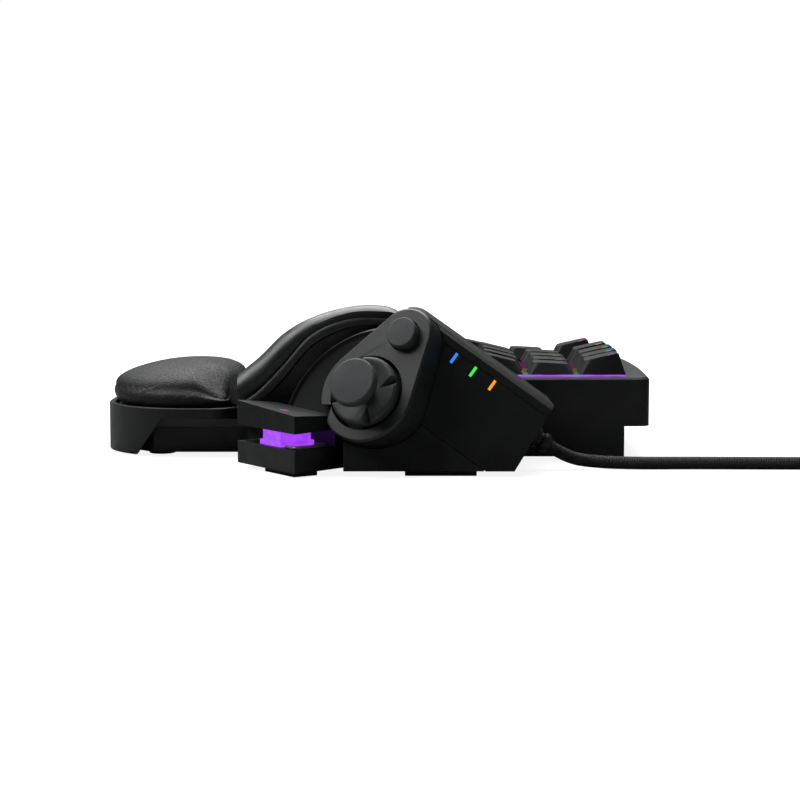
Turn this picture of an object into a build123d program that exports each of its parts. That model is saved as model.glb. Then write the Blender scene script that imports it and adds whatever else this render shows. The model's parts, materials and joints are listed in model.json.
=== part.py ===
from build123d import *
import os
from math import asin, atan, ceil, cos, degrees, pi, radians, sin, sqrt, tan

# A left-hand keypad: nineteen finger keys, a thumb module, an arched bridge and a sliding palm rest.
# Millimetres. +X is the thumb side, +Y is away from the user, +Z is up, and the feet stand on Z = 0.

# Whole object
OVERALL_WIDTH = 158.2
FOOT_HEIGHT = 1.4
PART_GAP = 0.3
SEAM = 0.25
OVERRUN = 1.0
FRONT_MARGIN = 10.0

# Case of the finger keys
FRONT_BOW = 2.0
CASE_TOP = 30.8
CASE_SPLIT = 22.1
CASE_STEP = 12.6
CASE_WALL = 2.2
CASE_ROOF = 2.0
CASE_NEAR_CORNER = 4.0
CASE_FAR_CORNER = 9.0
CASE_REAR_CORNER = 2.0
CASE_TOP_CHAMFER = 1.0
PEDESTAL_SETBACK = 9.2
PEDESTAL_FAR_SETBACK = 8.0

# Finger keys
KEY_PITCH = 19.05
KEY_TRAVEL = 3.5
CAP_BASE = 17.0
CAP_TOP_WIDTH = 12.6
CAP_TOP_LENGTH = 12.4
CAP_BASE_CORNER = 1.0
CAP_TOP_CORNER = 2.2
CAP_BOTTOM = 31.3
CAP_WALL = 1.2
CAP_ROOF = 1.4
CAP_DISH = 0.45
CAP_DISH_RADIUS = 42.0
CAP_OPENING_GAP = 0.6
NEAR_CAP_SETBACK = 5.0
FAR_CAP_SETBACK = 5.8
FRONT_CAP_SETBACK = 8.2
REAR_CAP_SETBACK = 7.05
ROW_REAR_TOPS = (43.0, 39.0, 35.8, 36.5)
ROW_FRONT_TOPS = (39.5, 36.0, 35.2, 39.3)
COLUMN_STAGGERS = (-4.0, 1.2, 1.6, 1.2, 0.0)
COLUMN_COUNT = 5
ROW_COUNT = 4

# Key switches, plate and main board
PLATE_TOP = 27.3
PLATE_THICKNESS = 1.5
BOARD_TOP = 20.3
BOARD_THICKNESS = 1.6
BOARD_EDGE_GAP = 1.2
SWITCH_WIDTH = 14.0
SWITCH_NECK_WIDTH = 9.4
SWITCH_NECK_HEIGHT = 2.2
SWITCH_FIT = 0.05
STEM_RADIUS = 2.6
STEM_DEPTH = 5.8
STEM_FIT = 0.06
STEM_STOP_GAP = 0.4
BOSS_RADIUS = 3.2
SCREW_RADIUS = 1.2
SCREW_HEAD_RADIUS = 2.3
SCREW_HEAD_HEIGHT = 1.5
SCREW_LENGTH = 6.0

# Scroll wheel
WHEEL_RADIUS = 10.0
WHEEL_HUB_RADIUS = 7.9
WHEEL_WIDTH = 7.0
WHEEL_CENTRE_Z = 26.2
WHEEL_SLOT_GAP = 0.9
TYRE_RIBS = 24
TYRE_RIB_DEPTH = 0.45
AXLE_RADIUS = 1.5
AXLE_FIT = 0.05
CARRIER_ARM = 1.6
CARRIER_ARM_LENGTH = 6.0
CARRIER_FLOOR_DROP = 1.8
ENCODER_LENGTH = 8.0

# Rear base and palm rest slide
BASE_TOP = 14.0
BASE_WALL = 2.2
BASE_REAR_SETBACK = 12.0
BASE_PALM_NEAR_SETBACK = 13.0
BASE_PALM_WIDTH = 59.0
BASE_ARCH_FAR_SETBACK = 3.0
BASE_CORNER_RUN = 7.75
BASE_REAR_CORNER = 8.0
SLIDE_PLATE_THICKNESS = 3.0
SLOT_WIDTH = 4.0
SLOT_SPACING = 38.0
SLOT_LENGTH = 34.0
RUNNER_LENGTH = 15.0

# Palm rest and the notch in its cushion
PALM_WIDTH = 80.0
PALM_LENGTH = 52.8
PALM_ARCH_GAP = 0.6
PALM_NEAR_SETBACK = 5.0
PALM_REAR_CORNER = 34.0
PALM_FRONT_CORNER = 11.0
PALM_SHELL_BOTTOM = 14.6
PALM_SHELL_TOP = 18.6
PALM_SHELL_WALL = 2.4
PALM_POCKET_FLOOR = 2.4
PALM_LEG_CLEARANCE = 0.6
PALM_LEG_LENGTH_BOTTOM = 13.8
PALM_LEG_LENGTH_TOP = 23.7
CUSHION_TOP = 34.9
CUSHION_HEIGHT_SHARES = (0.0, 0.12, 0.35, 0.58, 0.78, 0.90, 0.97, 1.0)
CUSHION_REAR_SHARES = (0.072, 0.05, 0.07, 0.13, 0.24, 0.35, 0.46, 0.57)
CUSHION_FRONT_SHARES = (0.034, 0.015, 0.015, 0.02, 0.07, 0.15, 0.25, 0.36)
CUSHION_SIDE_SHARES = (0.037, 0.02, 0.028, 0.06, 0.13, 0.22, 0.32, 0.44)
NOTCH_GAP = 0.8

# Arch between palm rest and thumb module
ARCH_HEIGHT = 57.4
ARCH_LENGTH = 62.0
ARCH_WALL = 2.4
ARCH_LIP_OUT = 10.0
ARCH_LIP_WIDTH = 6.0
ARCH_SHOULDER_DROP = 5.0
ARCH_REAR_WIDTH = 83.0
ARCH_FAR_REAR_Z = 22.0
ARCH_FAR_FRONT_Z = 29.0
ARCH_BULGE_SHARE = 0.16
ARCH_CORNER_SHARE = 0.2
ARCH_CORNER_DROP_SHARE = 0.25
TONGUE_SETBACK = 18.9
TONGUE_WIDTH = 29.0
TONGUE_LENGTH = 5.2
TONGUE_BOTTOM = 19.6
TONGUE_TOP = 31.4
TONGUE_SLOPE = 25.0
ARCH_LENGTH_SHARES = (0.0, 0.13, 0.27, 0.43, 0.645, 0.84, 0.95, 1.0)
ARCH_HEIGHT_SHARES = (0.563, 0.676, 0.822, 0.922, 0.99, 1.0, 0.962, 0.885)
ARCH_LIP_SHARES = (0.29, 0.375, 0.526, 0.732, 0.854, 0.873, 0.855, 0.80)

# Thumb module
MODULE_TIP_AHEAD = 51.2
MODULE_TIP_Z = 24.1
MODULE_TOP_SLOPE = 35.2
MODULE_END_SLOPE = 57.4
MODULE_TOP_REAR_AHEAD = 0.3
MODULE_REAR_MID_AHEAD = -12.6
MODULE_REAR_MID_Z = 42.0
MODULE_PEAK_RADIUS = 8.5
MODULE_REAR_AHEAD = -22.4
MODULE_REAR_Z = 22.0
MODULE_BOTTOM = 1.9
MODULE_WIDTH = 45.0
MODULE_SIDE_LEAN = 16.0
MODULE_WALL = 2.2
TOP_COVER_DEPTH = 4.4
TOP_COVER_CHAMFER = 1.8
LOWER_SEAM_AHEAD = 1.8
LOWER_SEAM_Z = 19.4
MODULE_FOOT_REAR_AHEAD = -1.0
MODULE_FOOT_FRONT_AHEAD = 24.0

# Indicator light pipes
LIGHT_LENGTH = 4.0
LIGHT_WIDTH = 0.95
LIGHT_DEPTH = 3.4
LIGHT_PROUD = 0.1
LIGHT_FIRST_AHEAD = 16.2
LIGHT_FIRST_Z = 40.5
LIGHT_PITCH = 8.1
LIGHT_COUNT = 3

# Thumb panel
PANEL_CENTRE_OUT = 40.0
PANEL_CENTRE_AHEAD = -14.5
PANEL_CENTRE_Z = 28.9
PANEL_TURN = 27.0
PANEL_TILT = 25.0
PANEL_ROLL = 25.0
PANEL_LARGE_RADIUS = 18.0
PANEL_SMALL_RADIUS = 10.3
PANEL_CENTRE_DISTANCE = 24.1
PANEL_DEPTH = 13.0
PANEL_FACE = 2.4
PANEL_WALL = 2.0
PANEL_CHAMFER = 0.7

# Thumb pad with its gimbal
WELL_RADIUS = 13.7
WELL_DEPTH = 9.6
WELL_WALL = 1.4
PAD_RADIUS = 12.5
PAD_RIM_HEIGHT = 2.9
PAD_UNDERSIDE = 0.8
PAD_RIM_WIDTH = 1.6
PAD_HOLLOW_RADIUS = 5.2
PAD_HOLLOW_HEIGHT = 0.4
PETAL_COUNT = 4
PETAL_GROOVE_WIDTH = 2.6
PAD_PIVOT_DEPTH = 4.2
GIMBAL_OUTER = 7.2
GIMBAL_INNER = 4.4
GIMBAL_THICKNESS = 2.0
GIMBAL_PIN_RADIUS = 0.7
GIMBAL_PIN_LENGTH = 2.2
GIMBAL_PIN_FIT = 0.05
EAR_INNER = 7.7
EAR_THICKNESS = 1.6
EAR_WIDTH = 3.0
EAR_MARGIN = 0.75
STICK_CAP_RADIUS = 8.6
STICK_CAP_HEIGHT = 11.7
STICK_CAP_THICKNESS = 3.6
STICK_CAP_ROUND = 0.9
STICK_STEM_RADIUS = 3.4
STICK_SCREW_RADIUS = 1.1

# Mode button
BUTTON_RADIUS = 5.55
BUTTON_PROUD = 3.2
BUTTON_ROUND = 0.6
BUTTON_FIT = 0.3
BUTTON_FLANGE = 1.2
BUTTON_FLANGE_THICKNESS = 1.0
BUTTON_TRAVEL = 1.0
TACT_WIDTH = 6.0
THUMB_BOARD_DEPTH = 11.0
THUMB_BOARD_THICKNESS = 1.4

# Bowl behind the thumb panel
BOWL_DROP = 8.0
BOWL_RADIUS = 37.0
BOWL_DEPTH = 10.0
BOWL_FLOOR_DEPTH = 17.0
BOWL_WALL = 2.0
BOWL_SKIRT = 26.0

# Thumb key and its block
THUMB_KEY_OUT = 50.0
THUMB_KEY_AHEAD = -38.9
THUMB_KEY_TURN = 34.9
THUMB_KEY_LENGTH = 39.0
THUMB_KEY_DEPTH = 19.5
THUMB_KEY_LEAN = 5.0
THUMB_KEY_FAR_SHARE = 0.77
THUMB_CAP_BOTTOM = 15.3
THUMB_CAP_NEAR_TOP = 21.7
THUMB_CAP_RISE = 2.6
THUMB_CAP_FALL = 1.7
THUMB_CAP_WALL = 1.4
THUMB_TRAVEL = 3.5
THUMB_BLOCK_BOTTOM = 1.6
THUMB_BLOCK_TOP = 9.6
THUMB_RISER_TOP = 18.0
THUMB_RISER_DEPTH = 5.0
THUMB_SWITCH_ALONG = 18.5
THUMB_SWITCH_IN = 8.3
THUMB_SWITCH_BASE = 1.9
THUMB_SWITCH_TOP = 16.0
THUMB_NECK_WIDTH = 12.4
STABILISER_RADIUS = 0.65
STABILISER_INSET = 1.5
STABILISER_REACH = 8.0

# Cable with its gland, put-away coil and plug
CABLE_DIAMETER = 4.6
CABLE_OUT = 25.0
GLAND_Z = 12.6
GLAND_RING_ONE = 3.7
GLAND_RING_TWO = 3.2
GLAND_NECK = 2.75
GLAND_RING_LENGTH = 3.0
GLAND_NECK_LENGTH = 1.3
GLAND_LENGTH = 7.6
GLAND_ROOT = 4.0
COIL_PITCH = 5.9
COIL_LAYER_RISE = 5.4
COIL_RADIUS = 31.5
COIL_LAYERS = 4
COIL_LAYER_TURNS = 2.125
COIL_CLIMB_TURNS = 0.5
COIL_CENTRE_AHEAD = 184.0
COIL_TANGENT_STEP = 1e-4
COIL_KNOTS_PER_TURN = 4
GAP_SAMPLES = 1500
GAP_NEIGHBOURS = 60
TAIL_TURNS = 1.0 / 3.0
TAIL_OUT = 9.0
PLUG_LENGTH = 26.0
PLUG_WIDTH = 15.0
PLUG_HEIGHT = 7.6
PLUG_CORNER = 1.9
PLUG_SHELL_LENGTH = 14.0
PLUG_SHELL_WIDTH = 12.0
PLUG_SHELL_HEIGHT = 4.5
PLUG_SHELL_WALL = 0.5
CABLE_LEAD_ROUTE = (
    (25.0, 56.6, 4.43),
    (25.2, 65.6, 2.75),
    (26.0, 81.0, 2.3),
    (25.1, 100.0, 2.3),
    (25.6, 119.0, 2.3),
)
LEAD_END_RUN = 38.0
ROUTE_BEND_SHARE = 0.45

# Rubber feet
FOOT_RADIUS = 5.0

# Places that follow from the sizes above
case_width = (COLUMN_COUNT - 1) * KEY_PITCH + CAP_BASE + NEAR_CAP_SETBACK + FAR_CAP_SETBACK
case_length = (ROW_COUNT - 1) * KEY_PITCH + CAP_BASE + FRONT_CAP_SETBACK + REAR_CAP_SETBACK
overall_length = FRONT_BOW + case_length + ARCH_LENGTH + PALM_ARCH_GAP + PALM_LENGTH
reach = 2 * overall_length
module_reach = reach / 4
panel_reach = reach / 8
case_far = -OVERALL_WIDTH / 2
case_near = case_far + case_width
case_front = overall_length / 2
case_corner = case_front - FRONT_BOW
case_rear = case_corner - case_length
module_tip_y = case_rear + MODULE_TIP_AHEAD
module_top_rear_y = case_rear + MODULE_TOP_REAR_AHEAD
module_rear_mid_y = case_rear + MODULE_REAR_MID_AHEAD
module_rear_y = case_rear + MODULE_REAR_AHEAD
lower_seam_y = case_rear + LOWER_SEAM_AHEAD
module_foot_rear_y = case_rear + MODULE_FOOT_REAR_AHEAD
module_foot_front_y = case_rear + MODULE_FOOT_FRONT_AHEAD
light_first_y = case_rear + LIGHT_FIRST_AHEAD
panel_centre_y = case_rear + PANEL_CENTRE_AHEAD
thumb_key_y = case_rear + THUMB_KEY_AHEAD
coil_centre_y = case_rear + COIL_CENTRE_AHEAD
case_middle_x = (case_near + case_far) / 2
object_rear = -overall_length / 2
cable_x = case_near + CABLE_OUT
arch_lip_x = case_near + ARCH_LIP_OUT
base_palm_near = case_near - BASE_PALM_NEAR_SETBACK
base_palm_far = base_palm_near - BASE_PALM_WIDTH
palm_centre_x = case_near - PALM_NEAR_SETBACK - PALM_WIDTH / 2
module_near_x = case_near + MODULE_WIDTH
module_far_x = case_near + PART_GAP
arch_rear = case_rear - ARCH_LENGTH
arch_wall_x = arch_lip_x - ARCH_LIP_WIDTH
plate_bottom = PLATE_TOP - PLATE_THICKNESS
board_bottom = BOARD_TOP - BOARD_THICKNESS
cable_radius = CABLE_DIAMETER / 2
carrier_side = PART_GAP + CARRIER_ARM + PART_GAP


def block(x_from, x_to, y_from, y_to, z_from, z_to):
    """Box between two corners."""
    size = (x_to - x_from, y_to - y_from, z_to - z_from)
    middle = ((x_from + x_to) / 2, (y_from + y_to) / 2, (z_from + z_to) / 2)
    return Pos(*middle) * Box(*size)


def side_prism(points, x_from, x_to):
    """Prism of an outline given as (y, z) points, between two places along X."""
    outline = Plane.YZ * Polygon(*points, align=None)
    return Pos(x_from, 0, 0) * extrude(outline, x_to - x_from)


def plan_prism(points, z_from, z_to):
    """Prism of an outline given as (x, y) points, between two heights."""
    return Pos(0, 0, z_from) * extrude(Polygon(*points, align=None), z_to - z_from)


def beyond(plane):
    """Half space on the positive side of a plane."""
    return plane * Pos(0, 0, reach / 2) * Box(reach, reach, reach)


def rod(plane, radius, start, end):
    """Cylinder along a plane's normal, from one distance to another."""
    return plane * Pos(0, 0, (start + end) / 2) * Cylinder(radius, abs(end - start))


def one(shape):
    """The single solid of a shape."""
    return shape.solids().sort_by(SortBy.VOLUME)[-1]


def write(name, *solids):
    """Writes a node's solids to its STEP file."""
    whole = solids[0] if len(solids) == 1 else Compound(children=list(solids))
    export_step(whole, "parts/" + name + ".step")


# Case

def case_outline(inset):
    """Plan of the case, bowed at its front, drawn in by an inset."""
    near = case_near - inset
    far = case_far + inset
    rear = case_rear + inset
    corner = case_corner - inset
    edges = Curve() + [
        Line((near, corner), (near, rear)),
        Line((near, rear), (far, rear)),
        Line((far, rear), (far, corner)),
        ThreePointArc((far, corner), (case_middle_x, case_front - inset), (near, corner)),
    ]
    face = make_face(edges)
    rear_pair = face.vertices().group_by(Axis.Y)[0]
    face = fillet(rear_pair, CASE_REAR_CORNER)
    front_pair = face.vertices().group_by(Axis.Y)[-1].sort_by(Axis.X)
    face = fillet(front_pair[0], CASE_FAR_CORNER)
    front_pair = face.vertices().sort_by_distance((near, corner))
    return fillet(front_pair[0], CASE_NEAR_CORNER)


def column_x(column):
    """Middle of a key column, counted from the far side."""
    nearest = case_near - NEAR_CAP_SETBACK - CAP_BASE / 2
    return nearest - (COLUMN_COUNT - 1 - column) * KEY_PITCH


def row_y(row, column):
    """Middle of a key, rows counted from the user."""
    front = case_corner - FRONT_CAP_SETBACK - CAP_BASE / 2
    return front - (ROW_COUNT - 1 - row) * KEY_PITCH + COLUMN_STAGGERS[column]


def key_places():
    """Column and row of each finger key, numbered from the front row's far end."""
    places = [(column, row) for row in range(ROW_COUNT - 1, 0, -1) for column in range(COLUMN_COUNT)]
    return places + [(column, 0) for column in range(COLUMN_COUNT - 1)]


def wheel_place():
    """Middle of the scroll wheel, at the thumb end of the last row."""
    return column_x(COLUMN_COUNT - 1), row_y(0, COLUMN_COUNT - 1)


def wheel_gap_box(side, z_from, z_to):
    """Space of the wheel, widened at its sides by a given room."""
    x, y = wheel_place()
    half_width = WHEEL_WIDTH / 2 + side
    half_length = WHEEL_RADIUS + WHEEL_SLOT_GAP
    return block(x - half_width, x + half_width, y - half_length, y + half_length, z_from, z_to)


def key_field(z_from, z_to):
    """Openings of the key columns, one box each, overlapping side by side."""
    field = Part()
    half_key = CAP_BASE / 2 + CAP_OPENING_GAP
    half_pitch = KEY_PITCH / 2 + SEAM
    for column in range(COLUMN_COUNT):
        x = column_x(column)
        far = x - (half_key if column == 0 else half_pitch)
        near = x + (half_key if column == COLUMN_COUNT - 1 else half_pitch)
        first_row = 1 if column == COLUMN_COUNT - 1 else 0
        rear = row_y(first_row, column) - half_key
        front = row_y(ROW_COUNT - 1, column) + half_key
        field += block(far, near, rear, front, z_from, z_to)
    return field


def upper_case():
    """Bezel shell with the key openings and the wheel slot."""
    shell = Pos(0, 0, CASE_SPLIT) * extrude(case_outline(0), CASE_TOP - CASE_SPLIT)
    shell = chamfer(shell.faces().sort_by(Axis.Z)[-1].edges(), CASE_TOP_CHAMFER)
    inner = extrude(case_outline(CASE_WALL), CASE_TOP - CASE_ROOF - CASE_SPLIT + OVERRUN)
    shell -= Pos(0, 0, CASE_SPLIT - OVERRUN) * inner
    shell -= key_field(CASE_SPLIT, CASE_TOP + OVERRUN)
    shell -= wheel_gap_box(WHEEL_SLOT_GAP, CASE_SPLIT, CASE_TOP + OVERRUN)
    return one(shell)


def boss_places():
    """Four screw bosses between the outer key columns."""
    xs = (column_x(0) + KEY_PITCH / 2, column_x(COLUMN_COUNT - 1) - KEY_PITCH / 2)
    ys = (row_y(0, 0) + KEY_PITCH / 2, row_y(2, 0) + KEY_PITCH / 2)
    return [(x, y) for x in xs for y in ys]


def pedestal(inset, z_from, z_to):
    """Narrower foot of the case below its step."""
    return block(
        case_far + PEDESTAL_FAR_SETBACK + inset,
        case_near - inset,
        case_rear + inset,
        case_corner - PEDESTAL_SETBACK - inset,
        z_from,
        z_to,
    )


def lower_case():
    """Tub with its pedestal, board bosses and screw holes."""
    tub = Pos(0, 0, CASE_STEP) * extrude(case_outline(0), CASE_SPLIT - CASE_STEP)
    tub += pedestal(0, FOOT_HEIGHT, CASE_STEP)
    floor = CASE_STEP + CASE_WALL
    tub -= Pos(0, 0, floor) * extrude(case_outline(CASE_WALL), CASE_SPLIT)
    tub -= pedestal(CASE_WALL, FOOT_HEIGHT + CASE_WALL, CASE_SPLIT)
    for x, y in boss_places():
        boss = Plane(origin=(x, y, 0))
        tub += rod(boss, BOSS_RADIUS, FOOT_HEIGHT, board_bottom)
        tub -= rod(boss, SCREW_RADIUS + SWITCH_FIT, board_bottom - SCREW_LENGTH, CASE_SPLIT)
    return one(tub)


def case_screws():
    """Pan-head screws that hold the board down on the bosses."""
    screws = []
    for x, y in boss_places():
        place = Plane(origin=(x, y, 0))
        bottom = BOARD_TOP - SCREW_LENGTH
        screw = rod(place, SCREW_RADIUS, bottom, BOARD_TOP)
        screw += rod(place, SCREW_HEAD_RADIUS, BOARD_TOP, BOARD_TOP + SCREW_HEAD_HEIGHT)
        screws.append(one(screw))
    return screws


def switch_plate():
    """Plate that holds the switches, with a square hole for each."""
    inset = CASE_WALL + PART_GAP
    plate = Pos(0, 0, plate_bottom) * extrude(case_outline(inset), PLATE_THICKNESS)
    half = SWITCH_WIDTH / 2 + SWITCH_FIT
    for column, row in key_places():
        x, y = column_x(column), row_y(row, column)
        plate -= block(x - half, x + half, y - half, y + half, plate_bottom, PLATE_TOP)
    plate -= wheel_gap_box(carrier_side, plate_bottom, PLATE_TOP)
    return one(plate)


def plate_supports():
    """Pillars between board and plate, in front of the screws."""
    pillars = []
    for x, y in boss_places():
        place = Plane(origin=(x, y + SCREW_HEAD_RADIUS + BOSS_RADIUS, 0))
        pillars.append(rod(place, BOSS_RADIUS / 2, BOARD_TOP, plate_bottom).solid())
    return pillars


def main_board():
    """Circuit board under the switches."""
    inset = CASE_WALL + BOARD_EDGE_GAP
    board = Pos(0, 0, board_bottom) * extrude(case_outline(inset), BOARD_THICKNESS)
    for x, y in boss_places():
        board -= rod(Plane(origin=(x, y, 0)), SCREW_RADIUS + SWITCH_FIT, 0, CASE_TOP)
    board -= wheel_gap_box(carrier_side, board_bottom, BOARD_TOP)
    return one(board)


def switch_housing(x, y):
    """Square switch body with a narrower neck and a bore for the key's stem."""
    half = SWITCH_WIDTH / 2
    neck = SWITCH_NECK_WIDTH / 2
    body = block(x - half, x + half, y - half, y + half, BOARD_TOP, PLATE_TOP)
    neck_top = PLATE_TOP + SWITCH_NECK_HEIGHT
    body += block(x - neck, x + neck, y - neck, y + neck, PLATE_TOP, neck_top)
    depth = CAP_BOTTOM - STEM_DEPTH - KEY_TRAVEL - STEM_STOP_GAP
    body -= rod(Plane(origin=(x, y, 0)), STEM_RADIUS + STEM_FIT, depth, neck_top + OVERRUN)
    return body.solid()


def cap_loft(width, length, top_width, top_length, top_plane):
    """Four-sided form from a base at Z = 0 to a tilted top."""
    base = RectangleRounded(width, length, CAP_BASE_CORNER)
    top = top_plane * RectangleRounded(top_width, top_length, CAP_TOP_CORNER)
    return loft([base.face(), top.face()])


def key_cap(row):
    """Hollow key cap with a dished, tilted top and a round stem, standing on Z = 0."""
    rear = ROW_REAR_TOPS[row] - CAP_BOTTOM
    front = ROW_FRONT_TOPS[row] - CAP_BOTTOM
    tilt = atan((front - rear) / CAP_TOP_LENGTH)
    normal = (0, -sin(tilt), cos(tilt))
    top = Plane(origin=(0, 0, (rear + front) / 2), x_dir=(1, 0, 0), z_dir=normal)
    cap = cap_loft(CAP_BASE, CAP_BASE, CAP_TOP_WIDTH, CAP_TOP_LENGTH, top)
    scoop = Pos(0, 0, CAP_DISH_RADIUS - CAP_DISH) * Rot(90, 0, 0)
    cap -= top * scoop * Cylinder(CAP_DISH_RADIUS, 2 * CAP_BASE)
    inner = CAP_BASE - 2 * CAP_WALL
    ceiling = top.offset(-CAP_ROOF - CAP_DISH)
    cap -= cap_loft(
        inner, inner, CAP_TOP_WIDTH - 2 * CAP_WALL, CAP_TOP_LENGTH - 2 * CAP_WALL, ceiling
    )
    stem = rod(Plane.XY, STEM_RADIUS, -STEM_DEPTH, max(rear, front))
    return one(cap + (stem - beyond(top.offset(-CAP_DISH - CAP_ROOF / 2))))


# Scroll wheel

def wheel_plane():
    """Plane across the wheel's axis, at the wheel's middle."""
    x, y = wheel_place()
    return Plane(origin=(x, y, WHEEL_CENTRE_Z), x_dir=(0, 1, 0), z_dir=(1, 0, 0))


def wheel_hub():
    """Hub with its axle stubs."""
    plane = wheel_plane()
    half = WHEEL_WIDTH / 2
    stub = half + PART_GAP + CARRIER_ARM
    return one(rod(plane, WHEEL_HUB_RADIUS, -half, half) + rod(plane, AXLE_RADIUS, -stub, stub))


def wheel_tyre():
    """Ribbed rubber ring round the hub."""
    plane = wheel_plane()
    half = WHEEL_WIDTH / 2
    tyre = rod(plane, WHEEL_RADIUS, -half, half) - rod(plane, WHEEL_HUB_RADIUS, -half, half)
    for rib in range(TYRE_RIBS):
        turn = plane * Rot(0, 0, 360 * rib / TYRE_RIBS) * Pos(WHEEL_RADIUS, 0, 0)
        tyre -= turn * Cylinder(TYRE_RIB_DEPTH, WHEEL_WIDTH + OVERRUN)
    return one(tyre)


def wheel_carrier():
    """Fork that holds the axle and clicks down with the wheel."""
    plane = wheel_plane()
    x, y = wheel_place()
    inner = WHEEL_WIDTH / 2 + PART_GAP
    outer = inner + CARRIER_ARM
    half = CARRIER_ARM_LENGTH / 2
    bottom = WHEEL_CENTRE_Z - WHEEL_RADIUS - CARRIER_FLOOR_DROP
    top = WHEEL_CENTRE_Z + AXLE_RADIUS + CARRIER_ARM / 2
    fork = block(x - outer, x + outer, y - half, y + half, bottom, top)
    slot_floor = WHEEL_CENTRE_Z - WHEEL_RADIUS - PART_GAP
    fork -= block(x - inner, x + inner, y - half, y + half, slot_floor, top)
    fork -= rod(plane, AXLE_RADIUS + AXLE_FIT, -outer, outer)
    return one(fork)


def wheel_encoder():
    """Encoder block on the board beside the fork."""
    x, y = wheel_place()
    near = x - WHEEL_WIDTH / 2 - carrier_side
    half = CARRIER_ARM_LENGTH / 2
    return block(near - ENCODER_LENGTH / 2, near, y - half, y + half, BOARD_TOP, plate_bottom)


# Rear base, slide plate and palm rest

def base_points(inset):
    """Plan of the rear base: narrow under the palm rest, wide under the arch."""
    rear = object_rear + BASE_REAR_SETBACK
    near = base_palm_near
    arch_near = arch_wall_x - PART_GAP
    far = case_far + BASE_ARCH_FAR_SETBACK
    front = case_rear - PART_GAP
    cut = BASE_REAR_CORNER + inset * (sqrt(2) - 1)
    return (
        (near - cut, rear + inset),
        (near - inset, rear + cut),
        (near - inset, arch_rear + inset),
        (arch_near - inset, arch_rear + BASE_CORNER_RUN + inset),
        (arch_near - inset, front - inset),
        (far + inset, front - inset),
        (base_palm_far + inset, arch_rear + inset),
        (base_palm_far + inset, rear + cut),
        (base_palm_far + cut, rear + inset),
    )


def slide_zone(z_from, z_to):
    """Region of the base under the palm rest."""
    return block(-reach, reach, -reach, arch_rear - PART_GAP, z_from, z_to)


def rear_base():
    """Open tray under the arch and the palm rest."""
    tray = plan_prism(base_points(0), FOOT_HEIGHT, BASE_TOP)
    tray -= plan_prism(base_points(BASE_WALL), FOOT_HEIGHT + BASE_WALL, BASE_TOP + OVERRUN)
    return one(tray - slide_zone(BASE_TOP - SLIDE_PLATE_THICKNESS, BASE_TOP + OVERRUN))


def slot_xs():
    """Middles of the two slide slots."""
    middle = (base_palm_near + base_palm_far) / 2
    return middle - SLOT_SPACING / 2, middle + SLOT_SPACING / 2


def slide_plate():
    """Plate with two slots, open to the rear, that guide the palm rest."""
    bottom = BASE_TOP - SLIDE_PLATE_THICKNESS
    plate = plan_prism(base_points(0), bottom, BASE_TOP) & slide_zone(bottom, BASE_TOP)
    rear = object_rear + BASE_REAR_SETBACK
    for x in slot_xs():
        half = SLOT_WIDTH / 2
        plate -= block(x - half, x + half, rear, rear + SLOT_LENGTH, bottom, BASE_TOP)
    return one(plate)


def palm_outline(share):
    """Plan of the palm rest, scaled about its middle by a share."""
    face = Rectangle(PALM_WIDTH, PALM_LENGTH)
    face = fillet(face.vertices().group_by(Axis.Y)[0], PALM_REAR_CORNER)
    face = fillet(face.vertices().group_by(Axis.Y)[-1], PALM_FRONT_CORNER)
    middle = (palm_centre_x, object_rear + PALM_LENGTH / 2, 0)
    return Pos(*middle) * scale(face, by=share)


def palm_prism(inset, z_from, z_to):
    """Upright form of the palm rest's plan, drawn in by an inset."""
    share = (1 - 2 * inset / PALM_WIDTH, 1 - 2 * inset / PALM_LENGTH, 1)
    return Pos(0, 0, z_from) * extrude(palm_outline(share), z_to - z_from)


def palm_rest_shell():
    """Tray for the cushion, its rear skirt that reaches down as a leg, and two runners."""
    shell = palm_prism(0, PALM_SHELL_BOTTOM, PALM_SHELL_TOP)
    floor = PALM_SHELL_BOTTOM + PALM_POCKET_FLOOR
    shell -= palm_prism(PALM_SHELL_WALL, floor, PALM_SHELL_TOP + OVERRUN)
    skirt = palm_prism(0, PALM_LEG_CLEARANCE, PALM_SHELL_BOTTOM)
    skirt -= palm_prism(PALM_SHELL_WALL, 0, PALM_SHELL_BOTTOM)
    slant = (
        (object_rear - OVERRUN, PALM_LEG_CLEARANCE),
        (object_rear + PALM_LEG_LENGTH_BOTTOM, PALM_LEG_CLEARANCE),
        (object_rear + PALM_LEG_LENGTH_TOP, PALM_SHELL_BOTTOM),
        (object_rear - OVERRUN, PALM_SHELL_BOTTOM),
    )
    shell += skirt & side_prism(slant, -reach, reach)
    front = object_rear + BASE_REAR_SETBACK + SLOT_LENGTH - PART_GAP
    half = SLOT_WIDTH / 2 - PART_GAP
    bottom = BASE_TOP - SLIDE_PLATE_THICKNESS + PART_GAP
    for x in slot_xs():
        shell += block(x - half, x + half, front - RUNNER_LENGTH, front, bottom, PALM_SHELL_BOTTOM)
    return one(shell)


def palm_cushion():
    """Crowned pad with a drawn-in side band, seated in the tray."""
    start = PALM_SHELL_TOP + PART_GAP
    rise = CUSHION_TOP - start
    sections = []
    rows = zip(
        CUSHION_HEIGHT_SHARES, CUSHION_REAR_SHARES, CUSHION_FRONT_SHARES, CUSHION_SIDE_SHARES
    )
    for height, rear, front, side in rows:
        shift = PALM_LENGTH * (rear - front) / 2
        plan = palm_outline((1 - 2 * side, 1 - rear - front, 1))
        sections.append((Pos(0, shift, start + height * rise) * plan).face())
    pad = loft(sections) - plan_prism(tongue_points(NOTCH_GAP), start, reach)
    floor = PALM_SHELL_BOTTOM + PALM_POCKET_FLOOR
    return one(pad + palm_prism(PALM_SHELL_WALL + PART_GAP, floor, start))


# Arch

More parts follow.
